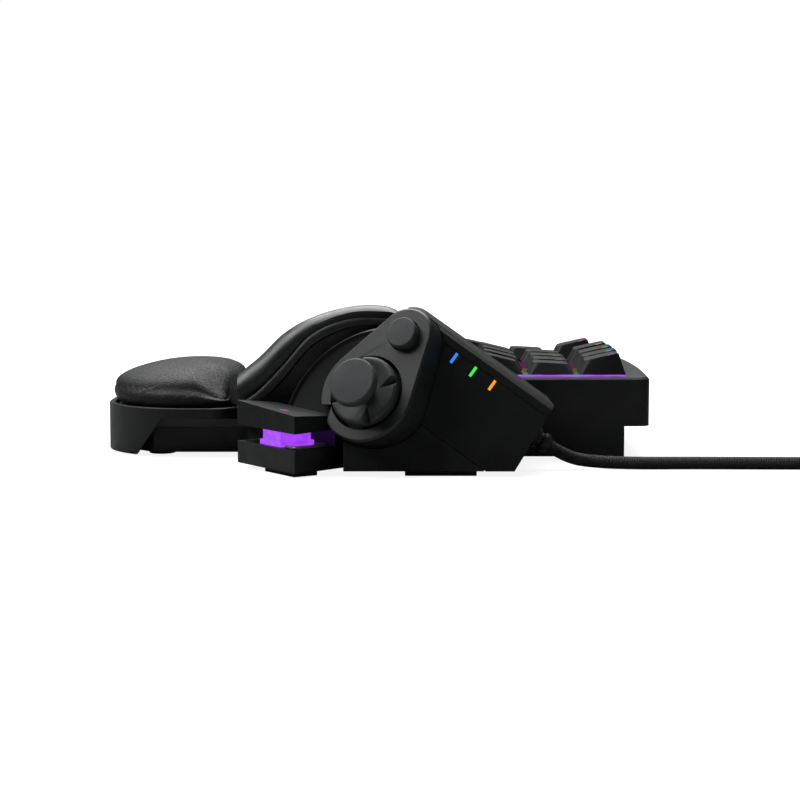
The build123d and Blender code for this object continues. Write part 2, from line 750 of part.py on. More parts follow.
def arch_places():
    """Place along Y, height, lip height, far edge and far height of each section."""
    places = []
    rows = zip(ARCH_LENGTH_SHARES, ARCH_HEIGHT_SHARES, ARCH_LIP_SHARES)
    rear_far = arch_lip_x - ARCH_REAR_WIDTH
    for along, height, lip in rows:
        y = arch_rear + along * ARCH_LENGTH
        far = rear_far + along * (case_far + BASE_ARCH_FAR_SETBACK - rear_far)
        far_z = ARCH_FAR_REAR_Z + along * (ARCH_FAR_FRONT_Z - ARCH_FAR_REAR_Z)
        places.append((y, height * ARCH_HEIGHT, lip * ARCH_HEIGHT, far, far_z))
    return places


def arch_top_arcs(y, near, ridge, far, top, shoulder_z, far_z):
    """Shoulder arc and long back of one arch section."""
    corner_x = near + ARCH_CORNER_SHARE * (ridge - near)
    corner = (corner_x, y, top - ARCH_CORNER_DROP_SHARE * (top - shoulder_z))
    middle_z = (top + far_z) / 2 + ARCH_BULGE_SHARE * (top - far_z)
    middle = ((ridge + far) / 2, y, middle_z)
    shoulder = ThreePointArc((near, y, shoulder_z), corner, (ridge, y, top))
    back = ThreePointArc((ridge, y, top), middle, (far, y, far_z))
    return shoulder, back


def arch_section(y, top, lip, far, far_z):
    """Outer section of the arch across Y, with its overhanging lip."""
    shoulder_z = top - ARCH_SHOULDER_DROP
    shoulder, back = arch_top_arcs(y, arch_lip_x, arch_wall_x, far, top, shoulder_z, far_z)
    edges = [
        Line((arch_wall_x, y, BASE_TOP), (arch_wall_x, y, lip)),
        Line((arch_wall_x, y, lip), (arch_lip_x, y, lip)),
        Line((arch_lip_x, y, lip), (arch_lip_x, y, shoulder_z)),
        shoulder,
        back,
        Line((far, y, far_z), (far, y, BASE_TOP)),
        Line((far, y, BASE_TOP), (arch_wall_x, y, BASE_TOP)),
    ]
    return Face(Wire(edges))


def arch_hollow(y, top, far, far_z):
    """Inner section of the arch, a wall's thickness inside the outer one."""
    near = arch_wall_x - ARCH_WALL
    ridge = near - ARCH_LIP_WIDTH
    inner_far = far + ARCH_WALL
    inner_top = top - ARCH_WALL
    inner_far_z = far_z - ARCH_WALL
    shoulder_z = inner_top - ARCH_SHOULDER_DROP
    shoulder, back = arch_top_arcs(y, near, ridge, inner_far, inner_top, shoulder_z, inner_far_z)
    edges = [
        Line((near, y, BASE_TOP), (near, y, shoulder_z)),
        shoulder,
        back,
        Line((inner_far, y, inner_far_z), (inner_far, y, BASE_TOP)),
        Line((inner_far, y, BASE_TOP), (near, y, BASE_TOP)),
    ]
    return Face(Wire(edges))


def tongue_points(gap):
    """Plan of the arch's tongue, widened by a gap."""
    middle = case_near - TONGUE_SETBACK
    half = TONGUE_WIDTH / 2 + 2 * gap
    front = arch_rear + ARCH_WALL / 2
    return (
        (middle - half, front),
        (middle - half, arch_rear),
        (middle, arch_rear - TONGUE_LENGTH - gap),
        (middle + half, arch_rear),
        (middle + half, front),
    )


def arch_tongue():
    """Pointed end of the arch that fills the cushion's notch, under a falling top."""
    fall = radians(TONGUE_SLOPE)
    top = Plane(origin=(0, arch_rear, TONGUE_TOP), x_dir=(1, 0, 0), z_dir=(0, -sin(fall), cos(fall)))
    return plan_prism(tongue_points(0), TONGUE_BOTTOM, ARCH_HEIGHT) - beyond(top)


def arch_shell():
    """Bridge shell from the palm rest up to the module and the key case."""
    places = arch_places()
    outer = loft([arch_section(y, top, lip, far, far_z) for y, top, lip, far, far_z in places])
    inner = loft([arch_hollow(y, top, far, far_z) for y, top, lip, far, far_z in places])
    inner_zone = block(
        -reach, reach, arch_rear + ARCH_WALL, case_rear - ARCH_WALL, BASE_TOP, reach
    )
    return one(outer - (inner & inner_zone) + arch_tongue())


# Thumb panel frame

def panel_plane():
    """Plane of the thumb panel: X runs from the pad to the button, Z points outward."""
    turn, tilt, roll = radians(PANEL_TURN), radians(PANEL_TILT), radians(PANEL_ROLL)
    normal = Vector(cos(tilt) * cos(turn), -cos(tilt) * sin(turn), sin(tilt))
    level = Vector(sin(turn), cos(turn), 0)
    upward = normal.cross(level)
    along = upward * cos(roll) + level * sin(roll)
    origin = (case_near + PANEL_CENTRE_OUT, panel_centre_y, PANEL_CENTRE_Z)
    return Plane(origin=origin, x_dir=along, z_dir=normal)


PANEL = panel_plane()
BUTTON = PANEL * Plane(origin=(PANEL_CENTRE_DISTANCE, 0, 0))


def teardrop(inset):
    """Panel outline: arcs of a large and a small circle, joined by their tangents."""
    large = PANEL_LARGE_RADIUS - inset
    small = PANEL_SMALL_RADIUS - inset
    lean = asin((large - small) / PANEL_CENTRE_DISTANCE)
    far = PANEL_CENTRE_DISTANCE
    large_end = (large * sin(lean), large * cos(lean))
    large_start = (large * sin(lean), -large * cos(lean))
    small_start = (far + small * sin(lean), -small * cos(lean))
    small_end = (far + small * sin(lean), small * cos(lean))
    edges = [
        ThreePointArc(large_end, (-large, 0), large_start),
        Line(large_start, small_start),
        ThreePointArc(small_start, (far + small, 0), small_end),
        Line(small_end, large_end),
    ]
    return Face(Wire(edges))


def panel_prism(inset, start, end):
    """Panel outline run along the panel's normal."""
    return PANEL * Pos(0, 0, start) * extrude(teardrop(inset), end - start, dir=(0, 0, 1))


def thumb_panel():
    """Teardrop cover with the well of the thumb pad and the button's hole."""
    panel = panel_prism(0, -PANEL_DEPTH, 0)
    front = panel.faces().sort_by(lambda face: -face.center().dot(PANEL.z_dir))[0]
    panel = chamfer(front.edges(), PANEL_CHAMFER)
    panel -= panel_prism(PANEL_WALL, -PANEL_DEPTH - OVERRUN, -PANEL_FACE)
    panel += rod(PANEL, WELL_RADIUS + WELL_WALL, -WELL_DEPTH - WELL_WALL, -PANEL_FACE / 2)
    panel -= rod(PANEL, WELL_RADIUS, -WELL_DEPTH, OVERRUN)
    panel -= rod(BUTTON, BUTTON_RADIUS + BUTTON_FIT, -panel_reach, OVERRUN)
    lowest = THUMB_CAP_BOTTOM - THUMB_TRAVEL - PART_GAP
    highest = THUMB_CAP_NEAR_TOP + THUMB_CAP_RISE
    return one(panel - thumb_prism(thumb_outline(-PART_GAP), lowest, highest))


# Thumb pad

def gimbal_plane():
    """Panel frame moved down to the pad's tilting centre."""
    return PANEL.offset(-PAD_PIVOT_DEPTH)


def pin_plane(turn):
    """Plane whose normal lies along a gimbal pin, turned about the panel's normal."""
    base = gimbal_plane()
    along = base.x_dir * cos(radians(turn)) + base.y_dir * sin(radians(turn))
    return Plane(origin=base.origin, x_dir=base.z_dir, z_dir=along)


def ear(turn, low, high):
    """Upright ear across a gimbal pin, with its bore."""
    base = gimbal_plane() * Rot(0, 0, turn)
    middle = (low + high) / 2
    plate = base * Pos(EAR_INNER + EAR_THICKNESS / 2, 0, middle)
    shape = plate * Box(EAR_THICKNESS, EAR_WIDTH, high - low)
    bore = rod(pin_plane(turn), GIMBAL_PIN_RADIUS + GIMBAL_PIN_FIT, 0, WELL_RADIUS)
    return shape - bore


def gimbal_ring():
    """Ring with four pins: one pair tilts in the socket, the other carries the pad."""
    base = gimbal_plane()
    half = GIMBAL_THICKNESS / 2
    ring = rod(base, GIMBAL_OUTER, -half, half) - rod(base, GIMBAL_INNER, -half, half)
    for turn in (0, 90, 180, 270):
        tip = GIMBAL_OUTER + GIMBAL_PIN_LENGTH
        ring += rod(pin_plane(turn), GIMBAL_PIN_RADIUS, GIMBAL_OUTER - half, tip)
    return one(ring)


def stick_socket():
    """Base of the thumb pad on the well's floor, with two ears."""
    floor = PAD_PIVOT_DEPTH - WELL_DEPTH
    thickness = WELL_WALL
    base = rod(gimbal_plane(), WELL_RADIUS - PART_GAP, floor, floor + thickness)
    top = GIMBAL_PIN_RADIUS + EAR_MARGIN
    for turn in (0, 180):
        base += ear(turn, floor, top)
    return one(base)


def thumb_pad():
    """Rocker disc: a raised rim, a scooped face cut into petals, and two ears below."""
    bottom = -PAD_UNDERSIDE
    profile = Polygon(
        (0, bottom),
        (PAD_RADIUS, bottom),
        (PAD_RADIUS, PAD_RIM_HEIGHT - PAD_RIM_WIDTH / 2),
        (PAD_RADIUS - PAD_RIM_WIDTH / 2, PAD_RIM_HEIGHT),
        (PAD_RADIUS - PAD_RIM_WIDTH, PAD_RIM_HEIGHT),
        (PAD_HOLLOW_RADIUS, PAD_HOLLOW_HEIGHT),
        (0, PAD_HOLLOW_HEIGHT),
        align=None,
    )
    disc = PANEL * revolve(Plane.XZ * profile, Axis.Z)
    depth = PAD_RIM_HEIGHT - PAD_HOLLOW_HEIGHT
    groove = Polygon(
        (0, 0), (PETAL_GROOVE_WIDTH, depth + OVERRUN), (-PETAL_GROOVE_WIDTH, depth + OVERRUN), align=None
    )
    for petal in range(PETAL_COUNT):
        turn = 360 * (petal + 0.5) / PETAL_COUNT
        cut = extrude(Plane.YZ * groove, PAD_RADIUS + OVERRUN)
        disc -= PANEL * Rot(0, 0, turn) * Pos(PAD_HOLLOW_RADIUS, 0, PAD_HOLLOW_HEIGHT) * cut
    top = PAD_PIVOT_DEPTH - PAD_UNDERSIDE
    low = -GIMBAL_PIN_RADIUS - EAR_MARGIN
    for turn in (90, 270):
        disc += ear(turn, low, top)
    disc -= rod(PANEL, STICK_SCREW_RADIUS + SWITCH_FIT, -PAD_PIVOT_DEPTH, PAD_RIM_HEIGHT)
    return one(disc)


def stick_cap():
    """Round cap on a flared stem that stands on the pad."""
    under = STICK_CAP_HEIGHT - STICK_CAP_THICKNESS
    cap = rod(PANEL, STICK_CAP_RADIUS, under, STICK_CAP_HEIGHT)
    cap = fillet(cap.edges().filter_by(GeomType.CIRCLE), STICK_CAP_ROUND)
    cap += rod(PANEL, STICK_STEM_RADIUS, PAD_HOLLOW_HEIGHT, under + STICK_CAP_THICKNESS / 2)
    return one(cap)


def mode_button():
    """Round button with a rounded rim and a retaining flange behind the panel."""
    flange_top = -PANEL_FACE - SEAM
    button = rod(BUTTON, BUTTON_RADIUS, flange_top, BUTTON_PROUD)
    rim = button.edges().filter_by(GeomType.CIRCLE)
    rim = rim.sort_by(lambda edge: -edge.center().dot(PANEL.z_dir))[0]
    button = fillet(rim, BUTTON_ROUND)
    flange_radius = BUTTON_RADIUS + BUTTON_FLANGE
    flange = rod(BUTTON, flange_radius, flange_top - BUTTON_FLANGE_THICKNESS, flange_top)
    return one(button + flange)


def thumb_board():
    """Small circuit board behind the button, with its tact switch."""
    front = -THUMB_BOARD_DEPTH
    near = WELL_RADIUS + WELL_WALL + PART_GAP
    outline = teardrop(PANEL_WALL + PART_GAP)
    board = extrude(outline, THUMB_BOARD_THICKNESS)
    board = PANEL * Pos(0, 0, front - THUMB_BOARD_THICKNESS) * board
    board -= rod(PANEL, near, -panel_reach, 0)
    button_low = -PANEL_FACE - SEAM - BUTTON_FLANGE_THICKNESS
    tact_top = button_low - BUTTON_TRAVEL + SEAM - PART_GAP
    tact = BUTTON * Pos(0, 0, (front + tact_top) / 2) * Box(TACT_WIDTH, TACT_WIDTH, tact_top - front)
    return one(board + tact)


# Thumb module

def top_line_z(y, drop):
    """Height of the module's sloping top at a place along Y, lowered square to it."""
    slope = radians(MODULE_TOP_SLOPE)
    return MODULE_TIP_Z + (module_tip_y - y) * tan(slope) - drop / cos(slope)


def module_points(inset):
    """Side outline of the module, drawn in by an inset."""
    bottom = MODULE_BOTTOM + inset
    end_slope = radians(MODULE_END_SLOPE)
    top_slope = radians(MODULE_TOP_SLOPE)
    shift = inset / sin(end_slope)
    end_y = module_tip_y - (MODULE_TIP_Z - bottom) / tan(end_slope) - shift
    rise = (top_line_z(module_tip_y, inset) - MODULE_TIP_Z + shift * tan(end_slope))
    tip_y = module_tip_y - shift + rise / (tan(end_slope) + tan(top_slope))
    top_rear = module_top_rear_y + inset
    return (
        (module_rear_y + inset, bottom),
        (end_y, bottom),
        (tip_y, top_line_z(tip_y, inset)),
        (top_rear, top_line_z(top_rear, inset)),
        (module_rear_mid_y + inset, MODULE_REAR_MID_Z),
        (module_rear_y + inset, MODULE_REAR_Z),
    )


def module_prism(inset, x_from, x_to):
    """Side outline of the module as a prism across X, with its rear peak rounded."""
    points = module_points(inset)
    prism = side_prism(points, x_from, x_to)
    peak = prism.edges().filter_by(Axis.X).sort_by_distance((x_from, *points[3]))[0]
    return fillet(peak, MODULE_PEAK_RADIUS - inset)


def side_plane(inset):
    """Leaning outer side of the module."""
    lean = radians(MODULE_SIDE_LEAN)
    normal = (cos(lean), 0, sin(lean))
    plane = Plane(origin=(module_near_x, 0, MODULE_BOTTOM), x_dir=(0, 1, 0), z_dir=normal)
    return plane.offset(-inset)


def module_block(inset):
    """Whole form of the module, drawn in by an inset."""
    form = module_prism(inset, module_far_x + inset, module_reach)
    form -= beyond(side_plane(inset))
    step_x = arch_lip_x + PART_GAP + inset
    step_y = case_rear + PART_GAP + inset
    return form - block(-reach, step_x, -reach, step_y, 0, reach)


def top_seam_plane(drop):
    """Plane square to the module's slope, some way below its top."""
    slope = radians(MODULE_TOP_SLOPE)
    return Plane(
        origin=(0, module_tip_y, MODULE_TIP_Z), x_dir=(1, 0, 0), z_dir=(0, sin(slope), cos(slope))
    ).offset(-drop)


def lower_seam_plane(shift):
    """Plane of the lower seam, parallel to the top, facing down."""
    slope = radians(MODULE_TOP_SLOPE)
    return Plane(
        origin=(0, lower_seam_y, LOWER_SEAM_Z), x_dir=(1, 0, 0), z_dir=(0, -sin(slope), -cos(slope))
    ).offset(shift)


def panel_room():
    """Space in front of the panel and the panel's own form, kept clear of the module."""
    room = panel_prism(-PART_GAP, -PANEL_DEPTH - PART_GAP, 0)
    front = panel_prism(-FRONT_MARGIN, 0, module_reach)
    return room + front


def cut_module(form):
    """Takes the panel's and the gland's room out of a module piece."""
    form -= panel_room()
    return one(form - rod(gland_plane(), GLAND_NECK + SWITCH_FIT, -2 * GLAND_ROOT, GLAND_LENGTH))


def module_top_cover():
    """Strip along the module's sloping top, chamfered at its outer edge."""
    cover = module_block(0) & beyond(top_seam_plane(TOP_COVER_DEPTH))
    top_face = cover.faces().sort_by(lambda face: -face.center().dot(top_seam_plane(0).z_dir))[0]
    edge = top_face.edges().sort_by(lambda edge: -edge.center().X)[0]
    cover = chamfer(edge, TOP_COVER_CHAMFER)
    cover -= module_block(MODULE_WALL)
    return cut_module(cover)


def module_shell():
    """Middle shell of the module with its light slots."""
    shell = module_block(0) - module_block(MODULE_WALL)
    shell -= beyond(top_seam_plane(TOP_COVER_DEPTH + SEAM))
    shell -= beyond(lower_seam_plane(-SEAM))
    for pipe in light_pipes(SWITCH_FIT):
        shell -= pipe
    return cut_module(shell)


def module_lower_cover():
    """Lower cover below the slanting seam."""
    cover = (module_block(0) - module_block(MODULE_WALL)) & beyond(lower_seam_plane(0))
    return cut_module(cover)


def light_pipes(gap):
    """Light pipes, square to the module's slope, each widened by a gap."""
    plane = side_plane(0)
    pipes = []
    slope = radians(MODULE_TOP_SLOPE)
    for index in range(LIGHT_COUNT):
        y = light_first_y + index * LIGHT_PITCH * cos(slope)
        z = LIGHT_FIRST_Z - index * LIGHT_PITCH * sin(slope)
        up = (z - MODULE_BOTTOM) / cos(radians(MODULE_SIDE_LEAN))
        place = plane * Pos(y, up, LIGHT_PROUD - LIGHT_DEPTH / 2) * Rot(0, 0, -MODULE_TOP_SLOPE)
        pipe = place * Box(LIGHT_WIDTH + 2 * gap, LIGHT_LENGTH + 2 * gap, LIGHT_DEPTH)
        pipes.append(pipe.solid())
    return pipes


def light_board():
    """Circuit board behind the light pipes."""
    plane = side_plane(0)
    slope = radians(MODULE_TOP_SLOPE)
    middle = (LIGHT_COUNT - 1) / 2
    y = light_first_y + middle * LIGHT_PITCH * cos(slope)
    z = LIGHT_FIRST_Z - middle * LIGHT_PITCH * sin(slope)
    up = (z - MODULE_BOTTOM) / cos(radians(MODULE_SIDE_LEAN))
    depth = LIGHT_PROUD - LIGHT_DEPTH - THUMB_BOARD_THICKNESS / 2
    place = plane * Pos(y, up, depth) * Rot(0, 0, -MODULE_TOP_SLOPE)
    return place * Box(LIGHT_COUNT * LIGHT_PITCH, 2 * LIGHT_LENGTH, THUMB_BOARD_THICKNESS)


# Bowl

def thumb_bowl():
    """Dish round the thumb panel whose rim turns back to the arch wall."""
    upward = Vector(0, 0, 1) - PANEL.z_dir * PANEL.z_dir.Z
    origin = PANEL.origin - upward.normalized() * BOWL_DROP
    plane = Plane(origin=origin, x_dir=PANEL.x_dir, z_dir=PANEL.z_dir)
    inner = PANEL_SMALL_RADIUS
    profile = Polygon(
        (inner, -BOWL_FLOOR_DEPTH),
        (BOWL_RADIUS - BOWL_WALL, -BOWL_DEPTH - BOWL_WALL / 2),
        (BOWL_RADIUS - BOWL_WALL / 2, -BOWL_DEPTH),
        (BOWL_RADIUS, -BOWL_DEPTH - BOWL_WALL / 2),
        (BOWL_RADIUS, -BOWL_DEPTH - BOWL_SKIRT),
        (BOWL_RADIUS - BOWL_WALL, -BOWL_DEPTH - BOWL_SKIRT),
        (BOWL_RADIUS - BOWL_WALL, -BOWL_DEPTH - 2 * BOWL_WALL),
        (inner, -BOWL_FLOOR_DEPTH - BOWL_WALL),
        align=None,
    )
    bowl = plane * revolve(Plane.XZ * profile, Axis.Z)
    bowl &= block(arch_wall_x, reach, -reach, reach, THUMB_RISER_TOP, reach)
    bowl -= block(arch_wall_x, arch_lip_x + PART_GAP, -reach, reach, 0, reach)
    bowl -= panel_prism(-PART_GAP, -PANEL_DEPTH - PART_GAP, module_reach)
    bowl -= module_outer_room()
    return one(bowl - thumb_key_room())


def thumb_key_room():
    """Room of the thumb key, with a gap all round and above."""
    gap = 2 * PART_GAP
    room = thumb_prism(thumb_outline(-gap), 0, reach)
    return room - thumb_space_above(-gap)


def module_outer_room():
    """Module form and everything in front of it, for cutting the bowl."""
    return module_prism(-PART_GAP, module_far_x - PART_GAP, module_reach) + block(
        arch_wall_x, reach, module_top_rear_y, reach, 0, reach
    )


# Thumb key

def thumb_key_plane():
    """Frame of the thumb key: X along its outer edge from the near corner, Y inward."""
    turn = radians(THUMB_KEY_TURN)
    origin = (case_near + THUMB_KEY_OUT, thumb_key_y, 0)
    return Plane(origin=origin, x_dir=(-cos(turn), -sin(turn), 0), z_dir=(0, 0, -1))


THUMB = thumb_key_plane()


def thumb_prism(points, z_from, z_to):
    """Prism of an outline in the thumb key's frame, between two heights."""
    return THUMB * Pos(0, 0, -z_to) * extrude(Polygon(*points, align=None), z_to - z_from)


def thumb_outline(inset):
    """Four-cornered outline of the thumb key, drawn in by an inset."""
    far = THUMB_KEY_DEPTH * THUMB_KEY_FAR_SHARE
    return (
        (inset, inset),
        (THUMB_KEY_LENGTH - inset * 3 / 2, inset),
        (THUMB_KEY_LENGTH - THUMB_KEY_LEAN / 2 - inset * 3 / 2, far - inset),
        (THUMB_KEY_LEAN + inset, THUMB_KEY_DEPTH - inset * 3 / 2),
    )


def thumb_top_plane(drop):
    """Sloping top of the thumb key, lowered by a drop."""
    origin = THUMB * Pos(0, 0, -THUMB_CAP_NEAR_TOP + drop)
    rise = atan(THUMB_CAP_RISE / THUMB_KEY_LENGTH)
    fall = atan(THUMB_CAP_FALL / THUMB_KEY_DEPTH)
    return origin * Rot(degrees(fall), 0, 0) * Rot(0, degrees(rise), 0)


def thumb_space_above(drop):
    """Everything above the thumb key's sloping top."""
    return thumb_top_plane(drop) * Pos(0, 0, -reach / 2) * Box(reach, reach, reach)


def thumb_keycap():
    """Hollow wedge cap with its stem."""
    tall = THUMB_CAP_NEAR_TOP + 2 * THUMB_CAP_RISE
    cap = thumb_prism(thumb_outline(0), THUMB_CAP_BOTTOM, tall) - thumb_space_above(0)
    hollow = thumb_prism(thumb_outline(THUMB_CAP_WALL), 0, tall)
    cap -= hollow - thumb_space_above(THUMB_CAP_WALL)
    low = THUMB_CAP_BOTTOM - STEM_DEPTH / 2
    stem = thumb_stem_rod(STEM_RADIUS, low, tall) - thumb_space_above(THUMB_CAP_WALL / 2)
    return one(cap + stem)


def thumb_stem_rod(radius, z_from, z_to):
    """Upright cylinder at the thumb switch."""
    place = THUMB * Pos(THUMB_SWITCH_ALONG, THUMB_SWITCH_IN, -(z_from + z_to) / 2)
    return place * Cylinder(radius, z_to - z_from)


def thumb_switch():
    """See-through switch under the thumb key."""
    seat = THUMB_BLOCK_TOP
    middle = THUMB * Pos(THUMB_SWITCH_ALONG, THUMB_SWITCH_IN, 0)
    base = middle * Pos(0, 0, -seat - THUMB_SWITCH_BASE / 2)
    body = base * Box(SWITCH_WIDTH, SWITCH_WIDTH, THUMB_SWITCH_BASE)
    neck_height = THUMB_SWITCH_TOP - seat - THUMB_SWITCH_BASE
    neck = middle * Pos(0, 0, -THUMB_SWITCH_TOP + neck_height / 2)
    body += neck * Box(THUMB_NECK_WIDTH, THUMB_NECK_WIDTH, neck_height)
    return one(body - thumb_stem_rod(STEM_RADIUS + STEM_FIT, seat - OVERRUN, THUMB_SWITCH_TOP))


def thumb_block_outline(inset):
    """Plan of the block under the thumb key, run back to the arch wall."""
    back = THUMB_KEY_DEPTH + THUMB_RISER_DEPTH
    return (
        (inset, inset),
        (THUMB_KEY_LENGTH - inset, inset),
        (THUMB_KEY_LENGTH - inset, back - inset),
        (THUMB_KEY_LEAN + inset, back - inset),
    )


def thumb_block():
    """Block that carries the thumb switch, with a riser behind the key."""
    body = thumb_prism(thumb_block_outline(0), THUMB_BLOCK_BOTTOM, THUMB_BLOCK_TOP)
    body -= thumb_prism(
        thumb_block_outline(BASE_WALL), THUMB_BLOCK_BOTTOM - OVERRUN, THUMB_BLOCK_TOP - BASE_WALL
    )
    back = THUMB_KEY_DEPTH + THUMB_RISER_DEPTH
    riser = (
        (THUMB_KEY_LEAN, THUMB_KEY_DEPTH + PART_GAP),
        (THUMB_KEY_LENGTH, THUMB_KEY_DEPTH + PART_GAP),
        (THUMB_KEY_LENGTH, back),
        (THUMB_KEY_LEAN, back),
    )
    body += thumb_prism(riser, THUMB_BLOCK_TOP - BASE_WALL, THUMB_RISER_TOP)
    body -= thumb_stem_rod(STEM_RADIUS + STEM_FIT, THUMB_BLOCK_BOTTOM - OVERRUN, THUMB_BLOCK_TOP)
    body -= block(-reach, arch_wall_x + PART_GAP, -reach, reach, 0, reach)
    body -= module_outer_room()
    body -= panel_prism(-PART_GAP, -PANEL_DEPTH - PART_GAP, module_reach)
    return one(body)


def stabiliser_wire():
    """Bent wire that lies on the block round the switch's near end."""
    first = STABILISER_INSET
    ends = STABILISER_REACH
    depth = THUMB_KEY_DEPTH - 2 * STABILISER_INSET
    height = -THUMB_BLOCK_TOP - STABILISER_RADIUS
    points = [(ends, first), (first, first), (first + THUMB_KEY_LEAN / 2, depth), (ends, depth)]
    path = THUMB * Pos(0, 0, height) * FilletPolyline(*points, radius=2 * STABILISER_RADIUS)
    start = Plane(origin=path @ 0, z_dir=path % 0)
    return sweep(start * Circle(STABILISER_RADIUS), path=path)


# Cable

def gland_plane():
    """Frame of the gland: Z along its axis, out of the module's slanted end."""
    slope = radians(MODULE_END_SLOPE)
    y = module_tip_y - (MODULE_TIP_Z - GLAND_Z) / tan(slope)
    normal = (0, sin(slope), -cos(slope))
    return Plane(origin=(cable_x, y, GLAND_Z), x_dir=(1, 0, 0), z_dir=normal)


def cable_gland():
    """Two rings on a neck, with a root inside the module."""
    plane = gland_plane()
    second = GLAND_RING_LENGTH + GLAND_NECK_LENGTH
    body = rod(plane, GLAND_NECK, -GLAND_ROOT, GLAND_LENGTH)
    body += rod(plane, GLAND_RING_ONE, PART_GAP, GLAND_RING_LENGTH)
    body += rod(plane, GLAND_RING_TWO, second, GLAND_LENGTH)
    inner = -GLAND_ROOT
    body += rod(plane, GLAND_RING_TWO, inner, -MODULE_WALL - PART_GAP)
    return one(body)


def coil_centre():
    """Middle of the put-away coil; the lead meets its near side."""
    return cable_x - COIL_RADIUS, coil_centre_y


def coil_stage(turns):
    """Radius and height of the coil's tube after some turns from its start."""
    span = COIL_LAYER_TURNS + COIL_CLIMB_TURNS
    coil_turns = COIL_LAYERS * span - COIL_CLIMB_TURNS
    if turns > coil_turns:
        share = (turns - coil_turns) / TAIL_TURNS
        drop = (COIL_LAYERS - 1) * COIL_LAYER_RISE
        fall = share * share * (3 - 2 * share)
        radius = COIL_RADIUS + TAIL_OUT * sin(share * pi / 2)
        return radius, cable_radius + drop * (1 - fall)
    layer = min(int(turns / span), COIL_LAYERS - 1)
    within = turns - layer * span
    wound = min(within, COIL_LAYER_TURNS) * COIL_PITCH
    full = COIL_LAYER_TURNS * COIL_PITCH
    inward = wound if layer % 2 == 0 else full - wound
    climb = max(0.0, within - COIL_LAYER_TURNS) / COIL_CLIMB_TURNS
    rise = layer + (1 - cos(climb * pi)) / 2
    return COIL_RADIUS - inward, cable_radius + rise * COIL_LAYER_RISE


def coil_point(turns):
    """Point of the coil's centreline after some turns."""
    radius, height = coil_stage(turns)
    x, y = coil_centre()
    return Vector(x + radius * cos(2 * pi * turns), y + radius * sin(2 * pi * turns), height)


def coil_tangent(turns):
    """Unit tangent of the coil's centreline, measured inside its span."""
    total = coil_total()
    low = max(turns - COIL_TANGENT_STEP, 0.0)
    high = min(turns + COIL_TANGENT_STEP, total)
    return (coil_point(high) - coil_point(low)).normalized()


def coil_total():
    """All turns of the coil with its tail."""
    span = COIL_LAYER_TURNS + COIL_CLIMB_TURNS
    return COIL_LAYERS * span - COIL_CLIMB_TURNS + TAIL_TURNS


def coil_knots():
    """Turn counts about a quarter turn apart, with one at each change of stage."""
    knots = [0.0]
    stages = [COIL_LAYER_TURNS, COIL_CLIMB_TURNS] * COIL_LAYERS
    stages[-1] = TAIL_TURNS
    for stage in stages:
        steps = ceil(stage * COIL_KNOTS_PER_TURN)
        start = knots[-1]
        knots += [start + stage * (step + 1) / steps for step in range(steps)]
    return knots


def biarc(start, start_tangent, end, end_tangent):
    """Two arcs, tangent to each other, between two points with given tangents."""
    gap = end - start
    turn = start_tangent + end_tangent
    spread = 2 * (1 - start_tangent.dot(end_tangent))
    lean = gap.dot(turn)
    reach = (-lean + sqrt(lean * lean + spread * gap.dot(gap))) / spread
    joint = (start + start_tangent * reach + end - end_tangent * reach) * 0.5
    first = Edge.make_tangent_arc(start, start_tangent, joint)
    second_tangent = (first % 1)
    return [first, Edge.make_tangent_arc(joint, second_tangent, end)]


def coil_path():
    """Centreline of the coil with a straight end, one diameter long, at each side."""
    knots = coil_knots()
    start, start_tangent = coil_point(0), coil_tangent(0)
    edges = [Line(start - start_tangent * CABLE_DIAMETER, start)]
    for low, high in zip(knots, knots[1:]):
        edges += biarc(coil_point(low), coil_tangent(low), coil_point(high), coil_tangent(high))
    end = coil_point(knots[-1])
    last = edges[-1] % 1
    edges.append(Line(end, end + last * CABLE_DIAMETER))
    return Wire(edges)


def tube(path):
    """Cable tube along a path."""
    start = Plane(origin=path @ 0, z_dir=path % 0)
    return sweep(start * Circle(cable_radius), path=path)


def lead_points():
    """Route of the lead: the hand-set points, then a run square to the coil's start."""
    start, tangent = coil_point(0), coil_tangent(0)
    end = start - tangent * CABLE_DIAMETER
    plane = gland_plane()
    points = [plane.origin + plane.z_dir * GLAND_LENGTH]
    points += [Vector(case_near + out, case_rear + ahead, z) for out, ahead, z in CABLE_LEAD_ROUTE]
    return points + [end - tangent * LEAD_END_RUN, end]


def route_radii(points):
    """Largest even arc at each corner of a route, printed for checking."""
    radii = []
    for before, corner, after in zip(points, points[1:], points[2:]):
        turn = radians((corner - before).get_angle(after - corner))
        shorter = min((corner - before).length, (after - corner).length)
        radii.append(ROUTE_BEND_SHARE * shorter / tan(turn / 2))
    print("cable lead radii:", [round(radius, 1) for radius in radii])
    return radii


def lead_path():
    """Centreline of the lead."""
    points = lead_points()
    return FilletPolyline(*points, radius=route_radii(points))


def print_cable_facts(lead, lead_solid, coil, coil_solid):
    """Prints lengths, volume ratios and the coil's least gap to itself."""
    section = pi * cable_radius ** 2
    for name, path, solid in (("lead", lead, lead_solid), ("coil", coil, coil_solid)):
        ratio = solid.volume / (section * path.length)
        print(name, "length", round(path.length, 1), "volume share", round(ratio, 4))
    samples = [coil_total() * index / GAP_SAMPLES for index in range(GAP_SAMPLES + 1)]
    points = [coil_point(turns) for turns in samples]
    least = min(
        (points[low] - points[high]).length
        for low in range(0, len(points), 2)
        for high in range(low + GAP_NEIGHBOURS, len(points), 2)
    )
    print("coil least gap", round(least - CABLE_DIAMETER, 2))


def plug_frame(path):
    """Frame at the coil's end, Z along the cord."""
    tangent = path % 1
    return Plane(origin=path @ 1, x_dir=(tangent.Y, -tangent.X, 0), z_dir=tangent)


